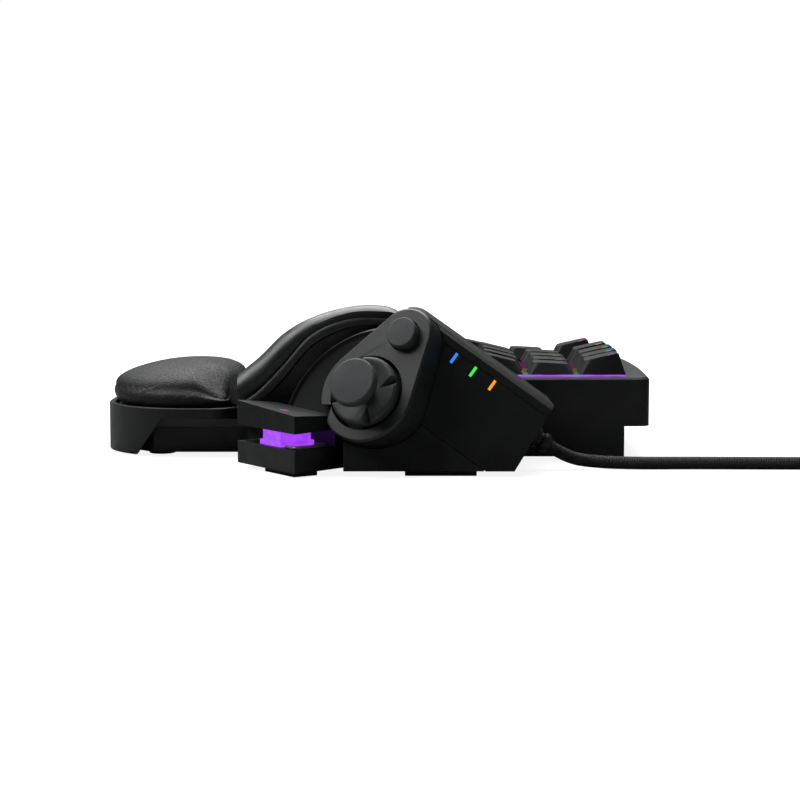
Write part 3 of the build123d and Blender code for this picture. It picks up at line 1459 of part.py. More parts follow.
def usb_plug(plane):
    """Overmoulded body of the plug."""
    lift = PLUG_HEIGHT / 2 - cable_radius
    form = Rectangle(PLUG_WIDTH, PLUG_HEIGHT)
    form = fillet(form.vertices(), PLUG_CORNER)
    return plane * Pos(0, -lift, 0) * extrude(form, PLUG_LENGTH)


def usb_plug_shell(plane):
    """Metal shell of the plug."""
    lift = PLUG_HEIGHT / 2 - cable_radius
    width, height = PLUG_SHELL_WIDTH, PLUG_SHELL_HEIGHT
    wall = 2 * PLUG_SHELL_WALL
    shell = extrude(Rectangle(width, height), PLUG_SHELL_LENGTH)
    hollow = Pos(0, 0, PLUG_SHELL_WALL) * extrude(
        Rectangle(width - wall, height - wall), PLUG_SHELL_LENGTH
    )
    return plane * Pos(0, -lift, PLUG_LENGTH) * (shell - hollow)


# Feet

def foot(x, y, z_top):
    """Round rubber foot."""
    return rod(Plane(origin=(x, y, 0)), FOOT_RADIUS, 0, z_top).solid()


def rubber_feet():
    """Feet under the pedestal and the rear base, and the pads of module and thumb block."""
    inset = 2 * FOOT_RADIUS
    far = case_far + PEDESTAL_FAR_SETBACK + inset
    front = case_corner - PEDESTAL_SETBACK - inset
    rear = object_rear + BASE_REAR_SETBACK + inset
    feet = [
        foot(far, front, FOOT_HEIGHT),
        foot(case_near - inset, front, FOOT_HEIGHT),
        foot(far, case_rear + inset, FOOT_HEIGHT),
        foot(base_palm_far + inset, rear, FOOT_HEIGHT),
        foot(base_palm_near - inset, rear, FOOT_HEIGHT),
    ]
    near = module_near_x - FOOT_RADIUS / 2
    feet.append(
        block(near - inset, near, module_foot_rear_y, module_foot_front_y, 0, MODULE_BOTTOM).solid()
    )
    middle = THUMB * Pos(THUMB_KEY_LENGTH / 3, THUMB_KEY_DEPTH / 3, -THUMB_BLOCK_BOTTOM / 2)
    pad = middle * Box(THUMB_KEY_LENGTH / 2, THUMB_KEY_DEPTH / 2, THUMB_BLOCK_BOTTOM)
    feet.append(pad.solid())
    return feet


def build_case():
    """Case, board, plate, switches, finger keys and wheel."""
    write("upper_case", upper_case())
    write("lower_case", lower_case())
    write("case_screws", *case_screws())
    write("switch_plate", switch_plate())
    write("plate_pillars", *plate_supports())
    write("main_circuit_board", main_board())
    places = key_places()
    housings = [switch_housing(column_x(column), row_y(row, column)) for column, row in places]
    write("switch_housings", *housings)
    caps = [key_cap(row) for row in range(ROW_COUNT)]
    for number, (column, row) in enumerate(places, 1):
        place = Pos(column_x(column), row_y(row, column), CAP_BOTTOM)
        write(f"keycap_{number:02d}", place * caps[row])
    write("wheel_hub", wheel_hub())
    write("wheel_tyre", wheel_tyre())
    write("wheel_carrier", wheel_carrier())
    write("wheel_encoder", wheel_encoder().solid())


def build_rear():
    """Rear base, palm rest and arch."""
    write("rear_base", rear_base())
    write("slide_plate", slide_plate())
    write("palm_rest_shell", palm_rest_shell())
    write("palm_cushion", palm_cushion())
    write("arch_shell", arch_shell())


def build_thumb_module():
    """Module covers, thumb panel with pad and button, bowl and thumb key."""
    write("module_shell", module_shell())
    write("module_top_cover", module_top_cover())
    write("module_lower_cover", module_lower_cover())
    write("indicator_lights", *light_pipes(0))
    write("indicator_board", light_board().solid())
    write("thumb_panel", thumb_panel())
    write("stick_socket", stick_socket())
    write("gimbal_ring", gimbal_ring())
    write("thumb_pad", thumb_pad())
    write("stick_cap", stick_cap())
    write("mode_button", mode_button())
    write("thumb_circuit_board", thumb_board())
    write("thumb_bowl", thumb_bowl())
    write("thumb_key_block", thumb_block())
    write("thumb_key_switch", thumb_switch())
    write("thumb_keycap", thumb_keycap())
    write("stabiliser_wire", stabiliser_wire().solid())
    write("rubber_feet", *rubber_feet())


def build_cable():
    """Gland, lead, coil and plug."""
    write("cable_gland", cable_gland())
    lead = lead_path()
    lead_solid = tube(lead).solid()
    coil = coil_path()
    coil_solid = tube(coil).solid()
    write("cable_lead", lead_solid)
    write("cable_coil", coil_solid)
    plane = plug_frame(coil)
    write("usb_plug", usb_plug(plane).solid())
    write("usb_plug_shell", usb_plug_shell(plane).solid())
    print_cable_facts(lead, lead_solid, coil, coil_solid)


def main():
    """Builds every piece."""
    os.makedirs("parts", exist_ok=True)
    build_case()
    build_rear()
    build_thumb_module()
    build_cable()


main()
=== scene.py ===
import bmesh
import bpy
import json
from math import ceil, cos, pi, radians, sin
from mathutils import Matrix, Vector
from mathutils.bvhtree import BVHTree


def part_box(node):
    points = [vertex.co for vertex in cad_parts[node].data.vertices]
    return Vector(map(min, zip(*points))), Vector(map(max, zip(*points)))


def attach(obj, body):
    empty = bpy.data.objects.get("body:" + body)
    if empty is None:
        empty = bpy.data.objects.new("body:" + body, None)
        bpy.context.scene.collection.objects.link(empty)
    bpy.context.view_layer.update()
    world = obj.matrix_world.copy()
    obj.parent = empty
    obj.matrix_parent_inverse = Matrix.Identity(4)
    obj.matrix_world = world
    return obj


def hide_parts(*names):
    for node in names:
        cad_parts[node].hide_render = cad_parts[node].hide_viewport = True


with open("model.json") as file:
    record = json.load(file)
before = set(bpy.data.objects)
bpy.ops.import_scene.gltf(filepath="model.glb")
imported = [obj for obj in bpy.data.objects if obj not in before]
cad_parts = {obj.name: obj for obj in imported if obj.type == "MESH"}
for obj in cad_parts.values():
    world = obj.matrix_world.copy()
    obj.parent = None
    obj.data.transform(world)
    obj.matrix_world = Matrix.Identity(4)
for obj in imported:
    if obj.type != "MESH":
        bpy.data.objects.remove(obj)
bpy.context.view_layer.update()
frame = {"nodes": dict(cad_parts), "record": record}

# A left-hand keypad on a pale floor. Metres, in the frame of the model: +X is the thumb side,
# +Y is away from the user, +Z is up.

# Camera
CAMERA_PLACE = (0.7199, 0.0093, 0.091)
CAMERA_DROP = 5.64
CAMERA_LENS = 85.2
CAMERA_SENSOR = 36.0

# Cable
CABLE_DIAMETER = 0.0046
CABLE_ROUTE = (
    (0.0499, 0.06226, 0.0085),
    (0.0499, 0.0686, 0.00443),
    (0.0501, 0.0776, 0.00275),
    (0.0509, 0.0930, 0.0023),
    (0.0500, 0.1120, 0.0023),
    (0.0505, 0.1310, 0.0023),
)
CABLE_END_RUN = 0.038
COIL_CENTRE = (0.0184, 0.196)
COIL_RADIUS = 0.0315
COIL_PITCH = 0.0059
COIL_LAYER_RISE = 0.0054
COIL_LAYERS = 4
COIL_LAYER_TURNS = 2.125
COIL_CLIMB_TURNS = 0.5
COIL_TAIL_TURNS = 1.0 / 3.0
COIL_TAIL_OUT = 0.009
COIL_POINTS_PER_TURN = 12
COIL_STEP = 0.0001
COIL_SPAN_TURNS = COIL_LAYER_TURNS + COIL_CLIMB_TURNS
COIL_WOUND_TURNS = COIL_LAYERS * COIL_SPAN_TURNS - COIL_CLIMB_TURNS
COIL_ALL_TURNS = COIL_WOUND_TURNS + COIL_TAIL_TURNS
CABLE_ROUND_STEPS = 4
CABLE_CURVE_STEPS = 6

# Gland where the cable leaves the thumb module
GLAND_PLACE = (0.0499, 0.05585, 0.0126)
GLAND_SLOPE = 57.4
GLAND_PROFILE = (
    (0.0, -0.002),
    (0.0031, -0.002),
    (0.0040, 0.0002),
    (0.0041, 0.0010),
    (0.0040, 0.0026),
    (0.0036, 0.0030),
    (0.0029, 0.0032),
    (0.0029, 0.0042),
    (0.0035, 0.0046),
    (0.0036, 0.0052),
    (0.0035, 0.0064),
    (0.0031, 0.0070),
    (0.0027, 0.0074),
    (0.0025, 0.0078),
    (0.0, 0.0078),
)
GLAND_STEPS = 64

# Arch: shares of its length with the top, the lip's lower edge and the bead's height at each
ARCH_SHARES = (0.0, 0.13, 0.27, 0.43, 0.645, 0.84, 0.95, 1.0)
ARCH_TOPS = (0.0323, 0.0388, 0.0472, 0.0529, 0.0568, 0.0574, 0.0552, 0.0508)
ARCH_LIPS = (0.0166, 0.0215, 0.0302, 0.0420, 0.0490, 0.0501, 0.0491, 0.0459)
ARCH_BEADS = (0.0045, 0.0055, 0.0058, 0.0049, 0.0037, 0.0033, 0.0031, 0.0028)
ARCH_REAR = -0.050
ARCH_LENGTH = 0.062
ARCH_NEAR = 0.0349
ARCH_WALL = 0.0289
ARCH_BASE = 0.014
ARCH_REAR_WIDTH = 0.083
ARCH_FRONT_FAR = -0.0761
ARCH_FAR_REAR_TOP = 0.022
ARCH_FAR_FRONT_TOP = 0.029
ARCH_SHOULDER = 0.012
ARCH_CORNER = 0.36
ARCH_CORNER_DROP = 0.25
ARCH_BULGE = 0.16
ARCH_STEPS = 44
SHOULDER_STEPS = 7
BACK_STEPS = 26
ARCH_EDGE = 0.0008
BEAD_DEPTHS = (0.0016, 0.0006, 0.0001, 0.0, 0.00015, 0.0006, 0.0010)
BEAD_SHARES = (0.0, 0.05, 0.18, 0.42, 0.68, 0.90, 1.0)
GROOVE_DEPTHS = (0.0009, 0.0006)
GROOVE_HEIGHTS = (0.0004, 0.0011)

# Tongue of the arch, which fills the notch in the palm cushion
TONGUE_X = 0.006
TONGUE_HALF_WIDTH = 0.0145
TONGUE_TIP_HALF_WIDTH = 0.0006
TONGUE_LENGTH = 0.0052
TONGUE_FALL = 0.0024
TONGUE_BOTTOM = 0.0196
TONGUE_SHARES = (1.0, 0.75, 0.5, 0.25, 0.0, -0.3)
TONGUE_PARTS = 10

# Palm cushion
CUSHION_SHRINK = (0.985, 0.98, 0.99)
CUSHION_VOXEL = 0.0022
CUSHION_HELD = 0.0188
CUSHION_PRESSURE = 4.0
CUSHION_SWELL = 0.0012
CUSHION_REAR = -0.1034
CUSHION_LENGTH = 0.0528
CLOTH_FRAMES = 20
SEAM_HEIGHT = 0.0252
SEAM_RISE = 0.0006
SEAM_WIDTH = 0.0014
SEAM_DEPTH = 0.0008
CUSHION_SMOOTHINGS = 14
REAR_SWELL = 0.0042
REAR_SWELL_HEIGHT = 0.0280
REAR_SWELL_SPREAD = 0.0055
REAR_SWELL_ALONG = (0.070, 0.098)
LOBE_FALL = 0.0060
LOBE_HEIGHTS = (0.0188, 0.0300)
LOBE_ACROSS = (-0.006, 0.010)
LOBE_ALONG = (-0.070, -0.055)

# Finger keys and their lit numbers
KEY_COUNT = 19
CAP_EDGE = 0.00035
NUMBER_DROP_HEIGHT = 0.08
NUMBER_CURVE_STEPS = 3
NUMBER_HEIGHT = 0.0034
NUMBER_PROUD = 0.00005
NUMBER_ASIDE = 0.0012
NUMBER_AHEAD = 0.0035
NUMBER_GLOW = 0.7
THUMB_NUMBER_PLACE = (0.0600, -0.0313, 0.022)
THUMB_NUMBER_TURN = 34.9
# Strip of painted light: the purple glow from under the keys, reflected on the case's rim
STRIP_LOW = (0.01995, 0.0188, 0.0302)
STRIP_HIGH = (0.02045, 0.0933, 0.0312)
STRIP_CUTS = 2

# Lights and surroundings
KEY_LIGHT_PLACE = (0.03, -0.60, 0.74)
KEY_LIGHT_SIZE = 0.6
KEY_LIGHT_POWER = 8.0
TOP_LIGHT_PLACE = (-0.35, 0.0, 0.80)
TOP_LIGHT_SIZE = 0.9
TOP_LIGHT_POWER = 18.0
FILL_LIGHT_PLACE = (0.7, 0.5, 0.35)
FILL_LIGHT_SIZE = 0.6
FILL_LIGHT_POWER = 0.25
AIM_POINT = (0.0, 0.0, 0.03)
WORLD_LEVEL = 0.025
WHITE = (1.0, 1.0, 1.0, 1.0)
FLOOR_SIZE = 6.0
FLOOR_LIFT_NEAR = 0.88
FLOOR_LIFT_FAR = 1.0
FLOOR_NEAR = 0.15
FLOOR_FAR = 0.60

# Soft edges of the moulded pieces. A pierced node keeps all its faces, because merging the flat
# ones round an opening gives bad faces.
WELD_DISTANCE = 0.000002
FLAT_ANGLE = 0.6
PIERCED_NODES = ("upper_case",)
SHARP_ANGLE = 32.0
EDGE_SEGMENTS = 3
PLUG_EDGE = 0.0003
CASE_EDGE = 0.0011
PALM_EDGE = 0.0018
MODULE_EDGE = 0.0008
SMALL_EDGE = 0.0004
TOUCH_EDGE = 0.0003
THUMB_CAP_EDGE = 0.0005

# Finishes: the colour, roughness and shine of each
FINISHES = {
    "case plastic": ((0.0056, 0.0062, 0.0067), 0.50, 0.27),
    "switch plastic": ((0.02, 0.02, 0.02), 0.50, 0.35),
    "panel plastic": ((0.0076, 0.0084, 0.0090), 0.42, 0.35),
    "module plastic": ((0.0050, 0.0055, 0.0060), 0.46, 0.23),
    "key plastic": ((0.0045, 0.0049, 0.0054), 0.62, 0.16),
    # The arch is moulded in the case's plastic: this copy is painted lighter, as a painted
    # highlight along the arch's crest, and is also glossier
    "arch plastic painted lighter": ((0.0085, 0.0094, 0.0102), 0.40, 0.50),
    "soft-touch plastic": ((0.0175, 0.0190, 0.0200), 0.60, 0.35),
    "leatherette": ((0.0066, 0.0071, 0.0076), 0.58, 0.24),
    "black rubber": ((0.012, 0.012, 0.012), 0.78, 0.3),
    "woven sleeve": ((0.0040, 0.0042, 0.0045), 0.62, 0.3),
    "plated steel": ((0.55, 0.55, 0.56), 0.28, 0.5),
    "dull steel": ((0.16, 0.16, 0.17), 0.50, 0.5),
    "board laminate": ((0.006, 0.020, 0.012), 0.35, 0.5),
    "floor paint": ((0.28, 0.28, 0.28), 0.9, 0.0),
}
LAMP_BODY = ((0.03, 0.03, 0.035), 0.35, 0.5)
STRIPE_BODY = ((0.02, 0.02, 0.02), 0.5, 0.4)

# Patterns in the finishes: scales per metre, reliefs in metres
PATTERN_LOW = 0.3
PATTERN_HIGH = 0.7
MARK_SCALE = 60.0
MARK_GAIN = 1.5
MARK_LIFT = 0.002
WEAR_SCALE = 140.0
WEAR_ROUGHNESS = 0.06
GRAIN_SCALE = 5200.0
GRAIN_DEPTH = 0.00002
RIPPLE_SCALE = GRAIN_SCALE / 12
RIPPLE_DEPTH = GRAIN_DEPTH * 0.7
PEBBLE_SCALE = 1500.0
PEBBLE_DEPTH = 0.00012
PEBBLE_ROUGHNESS = 0.10
CREASE_SCALE = 700.0
CREASE_DEPTH = 0.00008
# Leatherette: lighter patches at random, a painted sheen
LEATHER_SHEEN_SCALE = 90.0
LEATHER_PAINTED_SHEEN = (0.0105, 0.0110, 0.0115)
DUST_SCALE = 220.0
DUST_GAIN = 1.7
PIT_SCALE = 3400.0
PIT_DEPTH = 0.00003
BRAID_PITCH = 0.0009
BRAID_DEPTH = 0.00015
# Crowns of the strands painted lighter than the gaps between them: painted highlight on the
# crowns, painted shade in the gaps
BRAID_CROWN_HIGHLIGHT = (0.022, 0.023, 0.024)
BRAID_RANGE = (0.2, 1.0)
STAIN_SCALE = 300.0
STAIN_GAIN = 0.76
SCRATCH_SCALE = 900.0
SCRATCH_ROUGHNESS = 0.05
DENT_SCALE = 400.0
DENT_DEPTH = 0.000004
TRACK_SCALE = 260.0
TRACK_COLOUR = (0.012, 0.045, 0.028)
TRACK_RANGE = (0.1, 0.5)
SOLDER_SCALE = 420.0
SOLDER_DEPTH = 0.00004
PATCH_SCALE = 420.0
PATCH_DIM = 0.75
PATCH_BRIGHT = 1.15
LAMP_GRAIN_SCALE = 1800.0
STRIPE_GRAIN_SCALE = 1500.0
LAMP_GRAIN_DEPTH = 0.00002
FLOOR_MOTTLE_SCALE = 3.0
FLOOR_MOTTLE = (0.26, 0.26, 0.26)

# Lamps: the numbers' colours and the plate's, each from the far column to the thumb column
COLUMN_GLOWS = (
    (1.0, 0.05, 0.60),
    (1.0, 0.75, 0.03),
    (0.08, 1.0, 0.10),
    (0.02, 0.75, 1.0),
    (0.70, 0.03, 0.80),
)
COLUMN_WASHES = (
    (0.30, 0.02, 0.20),
    (0.25, 0.20, 0.02),
    (0.04, 0.40, 0.10),
    (0.02, 0.45, 0.60),
    (0.45, 0.02, 0.80),
)
# Colour of the painted purple reflection on the case's rim, which is not a lamp
PAINTED_PURPLE_LIGHT = (0.42, 0.02, 0.95)
THUMB_GLOW = (0.36, 0.05, 0.90)
LIGHT_GLOWS = ((0.02, 0.25, 1.0), (0.03, 0.85, 0.06), (1.0, 0.33, 0.01))
LIGHTS_REAR = 0.0250
LIGHTS_FRONT = 0.0450
LIGHT_STRENGTH = 1.1
THUMB_STRENGTH = 1.1
STRIP_STRENGTH = 1.6
COLUMNS_FAR = -0.0744
COLUMNS_NEAR = 0.0209
WASH_STRENGTH = 0.35


# Camera

def add_camera():
    """Camera at the photograph's place."""
    data = bpy.data.cameras.new("camera")
    data.lens = CAMERA_LENS
    data.sensor_width = CAMERA_SENSOR
    camera = bpy.data.objects.new("camera", data)
    bpy.context.scene.collection.objects.link(camera)
    camera.location = CAMERA_PLACE
    camera.rotation_euler = (radians(90 - CAMERA_DROP), 0, radians(90))
    bpy.context.scene.camera = camera


# Materials

class Finish:
    """Node tree of one material, built up from its shader outward."""

    def __init__(self, name, colour, roughness, shine, metallic=0.0):
        self.material = bpy.data.materials.new(name)
        self.material.use_nodes = True
        tree = self.material.node_tree
        self.nodes = tree.nodes
        self.links = tree.links
        self.shader = self.nodes["Principled BSDF"]
        self.shader.inputs["Metallic"].default_value = metallic
        self.shader.inputs["Specular IOR Level"].default_value = shine
        self.place = self.nodes.new("ShaderNodeTexCoord").outputs["Object"]
        self.colour = colour + (1.0,)
        self.roughness = roughness
        self.shader.inputs["Base Color"].default_value = self.colour
        self.shader.inputs["Roughness"].default_value = roughness
        self.height = None

    def noise(self, scale, detail, rough=0.5):
        """Noise pattern fixed to the piece."""
        node = self.nodes.new("ShaderNodeTexNoise")
        node.inputs["Scale"].default_value = scale
        node.inputs["Detail"].default_value = detail
        node.inputs["Roughness"].default_value = rough
        self.links.new(self.place, node.inputs["Vector"])
        return node.outputs["Fac"]

    def cells(self, scale, feature="F1"):
        """Cell pattern fixed to the piece."""
        node = self.nodes.new("ShaderNodeTexVoronoi")
        node.feature = feature
        node.inputs["Scale"].default_value = scale
        self.links.new(self.place, node.inputs["Vector"])
        return node.outputs["Distance"]

    def spread(self, value, low, high, start=PATTERN_LOW, end=PATTERN_HIGH):
        """Turns a pattern into values between two limits."""
        node = self.nodes.new("ShaderNodeMapRange")
        node.inputs["From Min"].default_value = start
        node.inputs["From Max"].default_value = end
        node.inputs["To Min"].default_value = low
        node.inputs["To Max"].default_value = high
        self.links.new(value, node.inputs["Value"])
        return node.outputs["Result"]

    def sum_of(self, first, second, kind="ADD"):
        """Two values added, or joined some other way."""
        node = self.nodes.new("ShaderNodeMath")
        node.operation = kind
        for socket, value in zip(node.inputs, (first, second)):
            if isinstance(value, float):
                socket.default_value = value
            else:
                self.links.new(value, socket)
        return node.outputs["Value"]

    def shaded(self, gain, lift=0.0):
        """The base colour made lighter or darker."""
        return [channel * gain + lift for channel in self.colour[:3]]

    def tint(self, pattern, other, start=PATTERN_LOW, end=PATTERN_HIGH):
        """Moves the colour between the base colour and another with a pattern."""
        ramp = self.nodes.new("ShaderNodeValToRGB")
        low, high = ramp.color_ramp.elements
        low.position = start
        high.position = end
        low.color = self.colour
        high.color = tuple(other) + (1.0,)
        self.links.new(pattern, ramp.inputs["Fac"])
        self.links.new(ramp.outputs["Color"], self.shader.inputs["Base Color"])

    def vary_roughness(self, pattern, by):
        """Roughness that moves with a pattern."""
        value = self.spread(pattern, self.roughness - by, self.roughness + by)
        self.links.new(value, self.shader.inputs["Roughness"])

    def bump(self, pattern, distance):
        """Adds a relief of a depth in metres."""
        node = self.nodes.new("ShaderNodeBump")
        node.inputs["Distance"].default_value = distance
        node.inputs["Strength"].default_value = 1.0
        self.links.new(pattern, node.inputs["Height"])
        if self.height is not None:
            self.links.new(self.height, node.inputs["Normal"])
        self.height = node.outputs["Normal"]
        self.links.new(self.height, self.shader.inputs["Normal"])

    def glow(self, colour, strength):
        """Light given off by the surface."""
        self.shader.inputs["Emission Color"].default_value = tuple(colour) + (1.0,)
        self.shader.inputs["Emission Strength"].default_value = strength


def moulded_plastic(name):
    """Black plastic with a spark-eroded grain and faint handling marks."""
    finish = Finish(name, *FINISHES[name])
    finish.tint(finish.noise(MARK_SCALE, detail=4.0), finish.shaded(MARK_GAIN, MARK_LIFT))
    finish.vary_roughness(finish.noise(WEAR_SCALE, detail=3.0), WEAR_ROUGHNESS)
    finish.bump(finish.noise(GRAIN_SCALE, detail=3.0, rough=0.7), GRAIN_DEPTH)
    finish.bump(finish.noise(RIPPLE_SCALE, detail=2.0), RIPPLE_DEPTH)
    return finish.material


def grained_leather(name):
    """Black leatherette: fine pebbles with soft wrinkles, and lighter patches of painted sheen.
    """
    finish = Finish(name, *FINISHES[name])
    pebbles = finish.cells(PEBBLE_SCALE)
    creases = finish.noise(CREASE_SCALE, detail=5.0, rough=0.65)
    # Lighter patches at random over the leather: painted sheen
    finish.tint(finish.noise(LEATHER_SHEEN_SCALE, detail=3.0), LEATHER_PAINTED_SHEEN)
    finish.vary_roughness(pebbles, PEBBLE_ROUGHNESS)
    finish.bump(pebbles, PEBBLE_DEPTH)
    finish.bump(creases, CREASE_DEPTH)
    return finish.material


def soft_rubber(name):
    """Dull rubber with dust-fine pits."""
    finish = Finish(name, *FINISHES[name])
    finish.tint(finish.noise(DUST_SCALE, detail=4.0), finish.shaded(DUST_GAIN))
    finish.bump(finish.noise(PIT_SCALE, detail=2.0), PIT_DEPTH)
    return finish.material


def braided_sleeve(name):
    """Woven cable sleeve: two sets of slanting strands that cross, their crowns painted lighter
    than the gaps between them.
    """
    finish = Finish(name, *FINISHES[name])
    split = finish.nodes.new("ShaderNodeSeparateXYZ")
    finish.links.new(finish.place, split.inputs["Vector"])
    strands = []
    for way in (1.0, -1.0):
        level = finish.sum_of(split.outputs["X"], split.outputs["Z"])
        slant = finish.sum_of(level, way, "MULTIPLY")
        both = finish.sum_of(slant, split.outputs["Y"])
        angle = finish.sum_of(both, 2 * pi / BRAID_PITCH, "MULTIPLY")
        strands.append(finish.sum_of(angle, 0.0, "SINE"))
    weave = finish.sum_of(strands[0], strands[1], "MAXIMUM")
    # Strand crowns painted lighter, gaps left dark: painted highlight and shade of the weave
    finish.tint(weave, BRAID_CROWN_HIGHLIGHT, *BRAID_RANGE)
    finish.bump(weave, BRAID_DEPTH)
    return finish.material


def plated_steel(name):
    """Plated steel with fine scratches."""
    finish = Finish(name, *FINISHES[name], metallic=1.0)
    finish.tint(finish.noise(STAIN_SCALE, detail=4.0), finish.shaded(STAIN_GAIN))
    finish.vary_roughness(finish.noise(SCRATCH_SCALE, detail=4.0), SCRATCH_ROUGHNESS)
    finish.bump(finish.noise(DENT_SCALE, detail=2.0), DENT_DEPTH)
    return finish.material


def board_laminate(name):
    """Dark solder mask over faint copper tracks."""
    finish = Finish(name, *FINISHES[name])
    finish.tint(finish.cells(TRACK_SCALE), TRACK_COLOUR, *TRACK_RANGE)
    finish.bump(finish.cells(SOLDER_SCALE, "F2"), SOLDER_DEPTH)
    return finish.material


def glowing_plastic(name, colour, strength):
    """Milky plastic lit from inside, a little uneven; also gives the glow of painted light."""
    finish = Finish(name, *LAMP_BODY)
    finish.glow(colour, strength)
    patches = finish.noise(PATCH_SCALE, detail=2.0)
    level = finish.spread(patches, PATCH_DIM * strength, PATCH_BRIGHT * strength)
    finish.links.new(level, finish.shader.inputs["Emission Strength"])
    finish.bump(finish.noise(LAMP_GRAIN_SCALE, detail=2.0), LAMP_GRAIN_DEPTH)
    return finish.material


def striped_lamps(name, axis, low, high, colours, strength):
    """Surface lit by a row of lamps, each with its own colour, in stripes along an axis."""
    finish = Finish(name, *STRIPE_BODY)
    split = finish.nodes.new("ShaderNodeSeparateXYZ")
    finish.links.new(finish.place, split.inputs["Vector"])
    across = finish.spread(split.outputs[axis], 0.0, 1.0, low, high)
    ramp = finish.nodes.new("ShaderNodeValToRGB")
    ramp.color_ramp.interpolation = "EASE"
    stops = ramp.color_ramp.elements
    while len(stops) < len(colours):
        stops.new(0.5)
    for index, glow in enumerate(colours):
        stops[index].position = (index + 0.5) / len(colours)
        stops[index].color = glow + (1.0,)
    finish.links.new(across, ramp.inputs["Fac"])
    finish.links.new(ramp.outputs["Color"], finish.shader.inputs["Emission Color"])
    finish.shader.inputs["Emission Strength"].default_value = strength
    finish.bump(finish.noise(STRIPE_GRAIN_SCALE, detail=2.0), LAMP_GRAIN_DEPTH)
    return finish.material


def backdrop_white(name):
    """Pale floor that the camera alone sees as nearly plain white, with the shadow kept."""
    finish = Finish(name, *FINISHES[name])
    finish.tint(finish.noise(FLOOR_MOTTLE_SCALE, detail=2.0), FLOOR_MOTTLE)
    finish.shader.inputs["Emission Color"].default_value = WHITE
    path = finish.nodes.new("ShaderNodeLightPath")
    away = finish.nodes.new("ShaderNodeVectorMath")
    away.operation = "LENGTH"
    finish.links.new(finish.place, away.inputs[0])
    lift = finish.spread(
        away.outputs["Value"], FLOOR_LIFT_NEAR, FLOOR_LIFT_FAR, FLOOR_NEAR, FLOOR_FAR
    )
    seen = finish.sum_of(path.outputs["Is Camera Ray"], lift, "MULTIPLY")
    finish.links.new(seen, finish.shader.inputs["Emission Strength"])
    return finish.material


# Pieces

NODES = frame["nodes"]
NODE_BODY = {}
for body_name, body_nodes in frame["record"]["behaviour"]["bodies"].items():
    for body_node in body_nodes:
        NODE_BODY[body_node] = body_name


def place_piece(name, shape, body, material):
    """Turns a bmesh into a named piece on its body, smooth except at its sharp edges."""
    mesh = bpy.data.meshes.new(name)
    shape.to_mesh(mesh)
    shape.free()
    for face in mesh.polygons:
        face.use_smooth = True
    mesh.set_sharp_from_angle(angle=radians(SHARP_ANGLE))
    piece = bpy.data.objects.new(name, mesh)
    bpy.context.scene.collection.objects.link(piece)
    mesh.materials.append(material)
    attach(piece, body)
    return piece


def baked_mesh(piece):
    """Mesh of a piece with its modifiers worked in."""
    bpy.context.view_layer.update()
    graph = bpy.context.evaluated_depsgraph_get()
    return bpy.data.meshes.new_from_object(piece.evaluated_get(graph))


def bevel_edges(piece, width):
    """Rounds a piece's sharp edges."""
    modifier = piece.modifiers.new("rounded edges", "BEVEL")
    modifier.width = width
    modifier.segments = EDGE_SEGMENTS
    modifier.limit_method = "ANGLE"
    modifier.angle_limit = radians(SHARP_ANGLE)
    modifier.harden_normals = True
    modifier.use_clamp_overlap = True


def merged_copy(node):
    """Bmesh of a CAD node with its doubles merged and its flat faces whole, unless pierced."""
    shape = bmesh.new()
    shape.from_mesh(NODES[node].data)
    bmesh.ops.remove_doubles(shape, verts=shape.verts[:], dist=WELD_DISTANCE)
    if node not in PIERCED_NODES:
        bmesh.ops.dissolve_limit(
            shape, angle_limit=radians(FLAT_ANGLE), verts=shape.verts[:], edges=shape.edges[:]
        )
    return shape


def soften(node, width, material):
    """Stands in for a CAD node with the same form and rounded edges."""
    piece = place_piece(
        node + "_moulding", merged_copy(node), NODE_BODY[node], material
    )
    bevel_edges(piece, width)
    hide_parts(node)
    return piece


def paint(node, material):
    """Gives a CAD node its finish."""
    mesh = NODES[node].data
    mesh.materials.clear()
    mesh.materials.append(material)


# Cable

def coil_stage(turns):
    """Radius and height of the coil's centreline after some turns."""
    if turns > COIL_WOUND_TURNS:
        share = min((turns - COIL_WOUND_TURNS) / COIL_TAIL_TURNS, 1.0)
        drop = (COIL_LAYERS - 1) * COIL_LAYER_RISE
        fall = share * share * (3 - 2 * share)
        radius = COIL_RADIUS + COIL_TAIL_OUT * sin(share * pi / 2)
        return radius, CABLE_DIAMETER / 2 + drop * (1 - fall)
    layer = min(int(turns / COIL_SPAN_TURNS), COIL_LAYERS - 1)
    within = turns - layer * COIL_SPAN_TURNS
    wound = min(within, COIL_LAYER_TURNS) * COIL_PITCH
    full = COIL_LAYER_TURNS * COIL_PITCH
    inward = wound if layer % 2 == 0 else full - wound
    climb = max(0.0, within - COIL_LAYER_TURNS) / COIL_CLIMB_TURNS
    rise = layer + (1 - cos(climb * pi)) / 2
    return COIL_RADIUS - inward, CABLE_DIAMETER / 2 + rise * COIL_LAYER_RISE


def coil_point(turns):
    """Point of the coil's centreline after some turns."""
    radius, height = coil_stage(turns)
    angle = 2 * pi * turns
    x, y = COIL_CENTRE
    return Vector((x + radius * cos(angle), y + radius * sin(angle), height))


def cable_points():
    """Route of the whole cable: lead, coil and tail."""
    points = [Vector(point) for point in CABLE_ROUTE]
    start = coil_point(0)
    tangent = (coil_point(COIL_STEP) - start).normalized()
    end = start - tangent * CABLE_DIAMETER
    points += [end - tangent * CABLE_END_RUN, end, start]
    count = ceil(COIL_ALL_TURNS * COIL_POINTS_PER_TURN)
    points += [coil_point(COIL_ALL_TURNS * (index + 1) / count) for index in range(count)]
    return points


